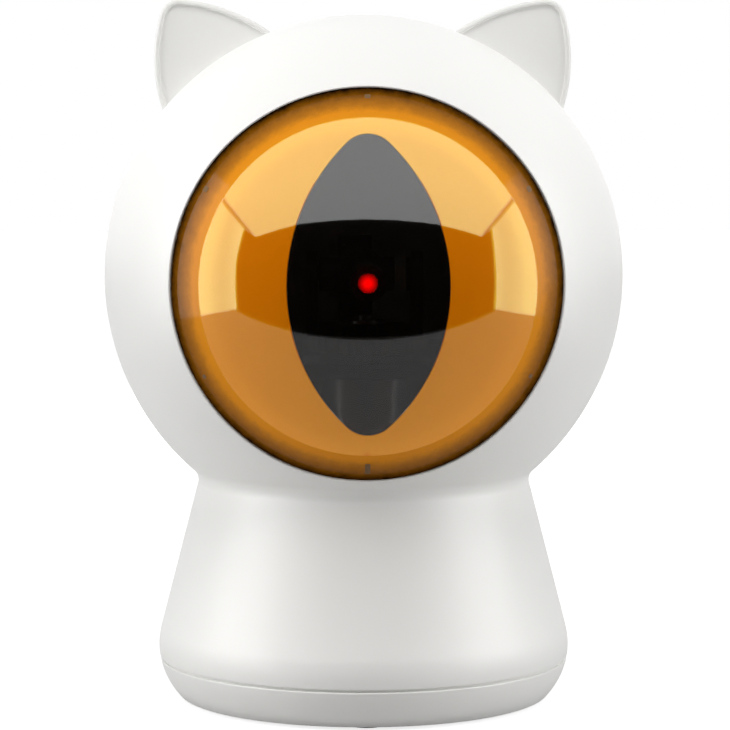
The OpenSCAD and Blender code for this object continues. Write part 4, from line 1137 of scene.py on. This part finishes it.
def lamp(name, centre, target, size, level):
    """A soft lamp that no reflection shows. Its level is about the light on the target."""
    away = Vector(target) - Vector(centre)
    data = bpy.data.lights.new(name, "AREA")
    data.shape = "RECTANGLE"
    data.size, data.size_y = size
    data.energy = level * 4 * math.pi * away.length_squared
    obj = bpy.data.objects.new(name, data)
    bpy.context.scene.collection.objects.link(obj)
    obj.location = centre
    obj.rotation_mode = "QUATERNION"
    obj.rotation_quaternion = away.to_track_quat("-Z", "Y")
    obj.visible_camera = False
    obj.visible_glossy = False


# where a soft box has its front, middle and back brightness along Y
BOX_FRONT, BOX_MIDDLE, BOX_BACK = -250, -205, -140


def softbox(name, corners, level, middle, back):
    """A bright flat card that only reflections show; middle and back are shares of its front."""
    bm = bmesh.new()
    bm.faces.new([bm.verts.new(c) for c in corners])
    obj = new_object(name, bm)
    mat, tree, bsdf = nodes_of(name)
    bsdf.inputs["Base Color"].default_value = (0, 0, 0, 1)
    bsdf.inputs["Specular IOR Level"].default_value = 0.0
    bsdf.inputs["Emission Color"].default_value = (1, 1, 1, 1)
    coords = add(tree, "ShaderNodeTexCoord")
    split = add(tree, "ShaderNodeSeparateXYZ")
    tree.links.new(coords.outputs["Object"], split.inputs[0])
    stops = [(BOX_FRONT, (1,) * 3), (BOX_MIDDLE, (middle,) * 3), (BOX_BACK, (back,) * 3)]
    curve = ramp(tree, split.outputs["Y"], stops, BOX_FRONT, BOX_BACK)
    scale = add(tree, "ShaderNodeMath", operation="MULTIPLY")
    scale.inputs[1].default_value = level
    tree.links.new(curve, scale.inputs[0])
    tree.links.new(scale.outputs[0], bsdf.inputs["Emission Strength"])
    dress(obj, mat)
    only_reflected(obj)


def looked_at(tree):
    """One where the camera, a reflection or a clear piece looks, and zero for other light."""
    path = tree.nodes.new("ShaderNodeLightPath")
    first = add(tree, "ShaderNodeMath", operation="MAXIMUM")
    second = add(tree, "ShaderNodeMath", operation="MAXIMUM")
    tree.links.new(path.outputs["Is Camera Ray"], first.inputs[0])
    tree.links.new(path.outputs["Is Glossy Ray"], first.inputs[1])
    tree.links.new(first.outputs[0], second.inputs[0])
    tree.links.new(path.outputs["Is Transmission Ray"], second.inputs[1])
    return second.outputs[0]


world = bpy.data.worlds.new("studio")
bpy.context.scene.world = world
world.use_nodes = True
tree = world.node_tree
background = tree.nodes["Background"]
background.inputs["Color"].default_value = (1, 1, 1, 1)
# white to the eye, and only a little light from all round
ROUND_LIGHT = 0.10
tree.links.new(ranged(tree, looked_at(tree), ROUND_LIGHT, 1.0), background.inputs["Strength"])

# The paper floor darkens under the toy as paper does, and has a brightness of its own for the
# camera, which rises with the distance from the toy until it is as white as the background.
FLOOR_HALF = 2000
PAPER_NEAR, PAPER_FAR = 60, 450
PAPER_GLOSS = 0.20
bm = bmesh.new()
bmesh.ops.create_grid(bm, x_segments=2, y_segments=2, size=FLOOR_HALF)
floor = new_object("floor", bm)
floor_mat, tree, bsdf = nodes_of("floor_paper")
bsdf.inputs["Base Color"].default_value = (0.46, 0.46, 0.46, 1)
bsdf.inputs["Roughness"].default_value = 0.9
bsdf.inputs["Emission Color"].default_value = (1, 1, 1, 1)
path = tree.nodes.new("ShaderNodeLightPath")
coords = add(tree, "ShaderNodeTexCoord")
length = add(tree, "ShaderNodeVectorMath", operation="LENGTH")
tree.links.new(coords.outputs["Object"], length.inputs[0])
paper = ramp(tree, length.outputs["Value"], [(PAPER_NEAR, (0.78,) * 3), (PAPER_FAR, (0.96,) * 3)],
             PAPER_NEAR, PAPER_FAR)
for_camera = add(tree, "ShaderNodeMath", operation="MULTIPLY_ADD")
tree.links.new(path.outputs["Is Camera Ray"], for_camera.inputs[0])
tree.links.new(paper, for_camera.inputs[1])
for_gloss = add(tree, "ShaderNodeMath", operation="MULTIPLY")
for_gloss.inputs[1].default_value = PAPER_GLOSS
tree.links.new(path.outputs["Is Glossy Ray"], for_gloss.inputs[0])
tree.links.new(for_gloss.outputs[0], for_camera.inputs[2])
tree.links.new(for_camera.outputs[0], bsdf.inputs["Emission Strength"])
dress(floor, floor_mat)

# a dark card in front, which only reflections show; its edges are arched
CARD_Y = -201
bm = bmesh.new()
outline = [(23.7 * i, 0.5 + 0.17 * i * i) for i in range(-10, 11)]
outline += [(236, 111), (241, 171), (203, 150), (102, 157.5), (0, 158.5), (-96, 157.5), (-185, 148)]
outline += [(-225, 169), (-237, 112)]
bm.faces.new([bm.verts.new((u, CARD_Y, v)) for u, v in outline])
card = new_object("dark_card", bm)
card_mat, tree, bsdf = nodes_of("card")
bsdf.inputs["Base Color"].default_value = (0, 0, 0, 1)
bsdf.inputs["Specular IOR Level"].default_value = 0.0
dress(card, card_mat)
only_reflected(card)

# the outlines of the soft boxes: X and Y of the top one, Y and Z of those at the sides
TOP_Z = 185
SIDE_X = 300
top_edge = [(-310, -350), (-281, -292), (-246, -226), (-227, -185), (-208, -147), (-194, -115),
            (-186, -62), (193, -62), (204, -110), (219, -142), (239, -181), (259, -222),
            (297, -289), (320, -350)]
left_edge = [(-330, 5), (-330, 178), (-260, 201), (-206, 219), (-158, 234), (20, 285), (20, 6)]
right_edge = [(-330, 5), (-330, 168), (-244, 194), (-191, 212), (-143, 226), (20, 275), (20, 8)]
softbox("top_box", [(x, y, TOP_Z) for x, y in top_edge], 3.5, 1.0, 1.06)
softbox("left_box", [(-SIDE_X, y, z) for y, z in left_edge], 4.3, 0.8, 1.0)
softbox("right_box", [(SIDE_X, y, z) for y, z in right_edge], 4.1, 0.8, 1.0)

lamp("key_lamp", (-0.04, -0.20, 0.60), (0, 0, 0.09), (0.40, 0.25), 0.615)
lamp("left_lamp", (-0.47, -0.11, 0.19), (0, 0, 0.08), (0.24, 0.20), 0.40)
lamp("right_lamp", (0.47, -0.11, 0.19), (0, 0, 0.08), (0.24, 0.20), 0.37)
lamp("back_lamp", (0, 0.60, 0.13), (0, 0, 0.08), (0.5, 0.15), 0.40)

bpy.context.scene.view_settings.view_transform = "Standard"
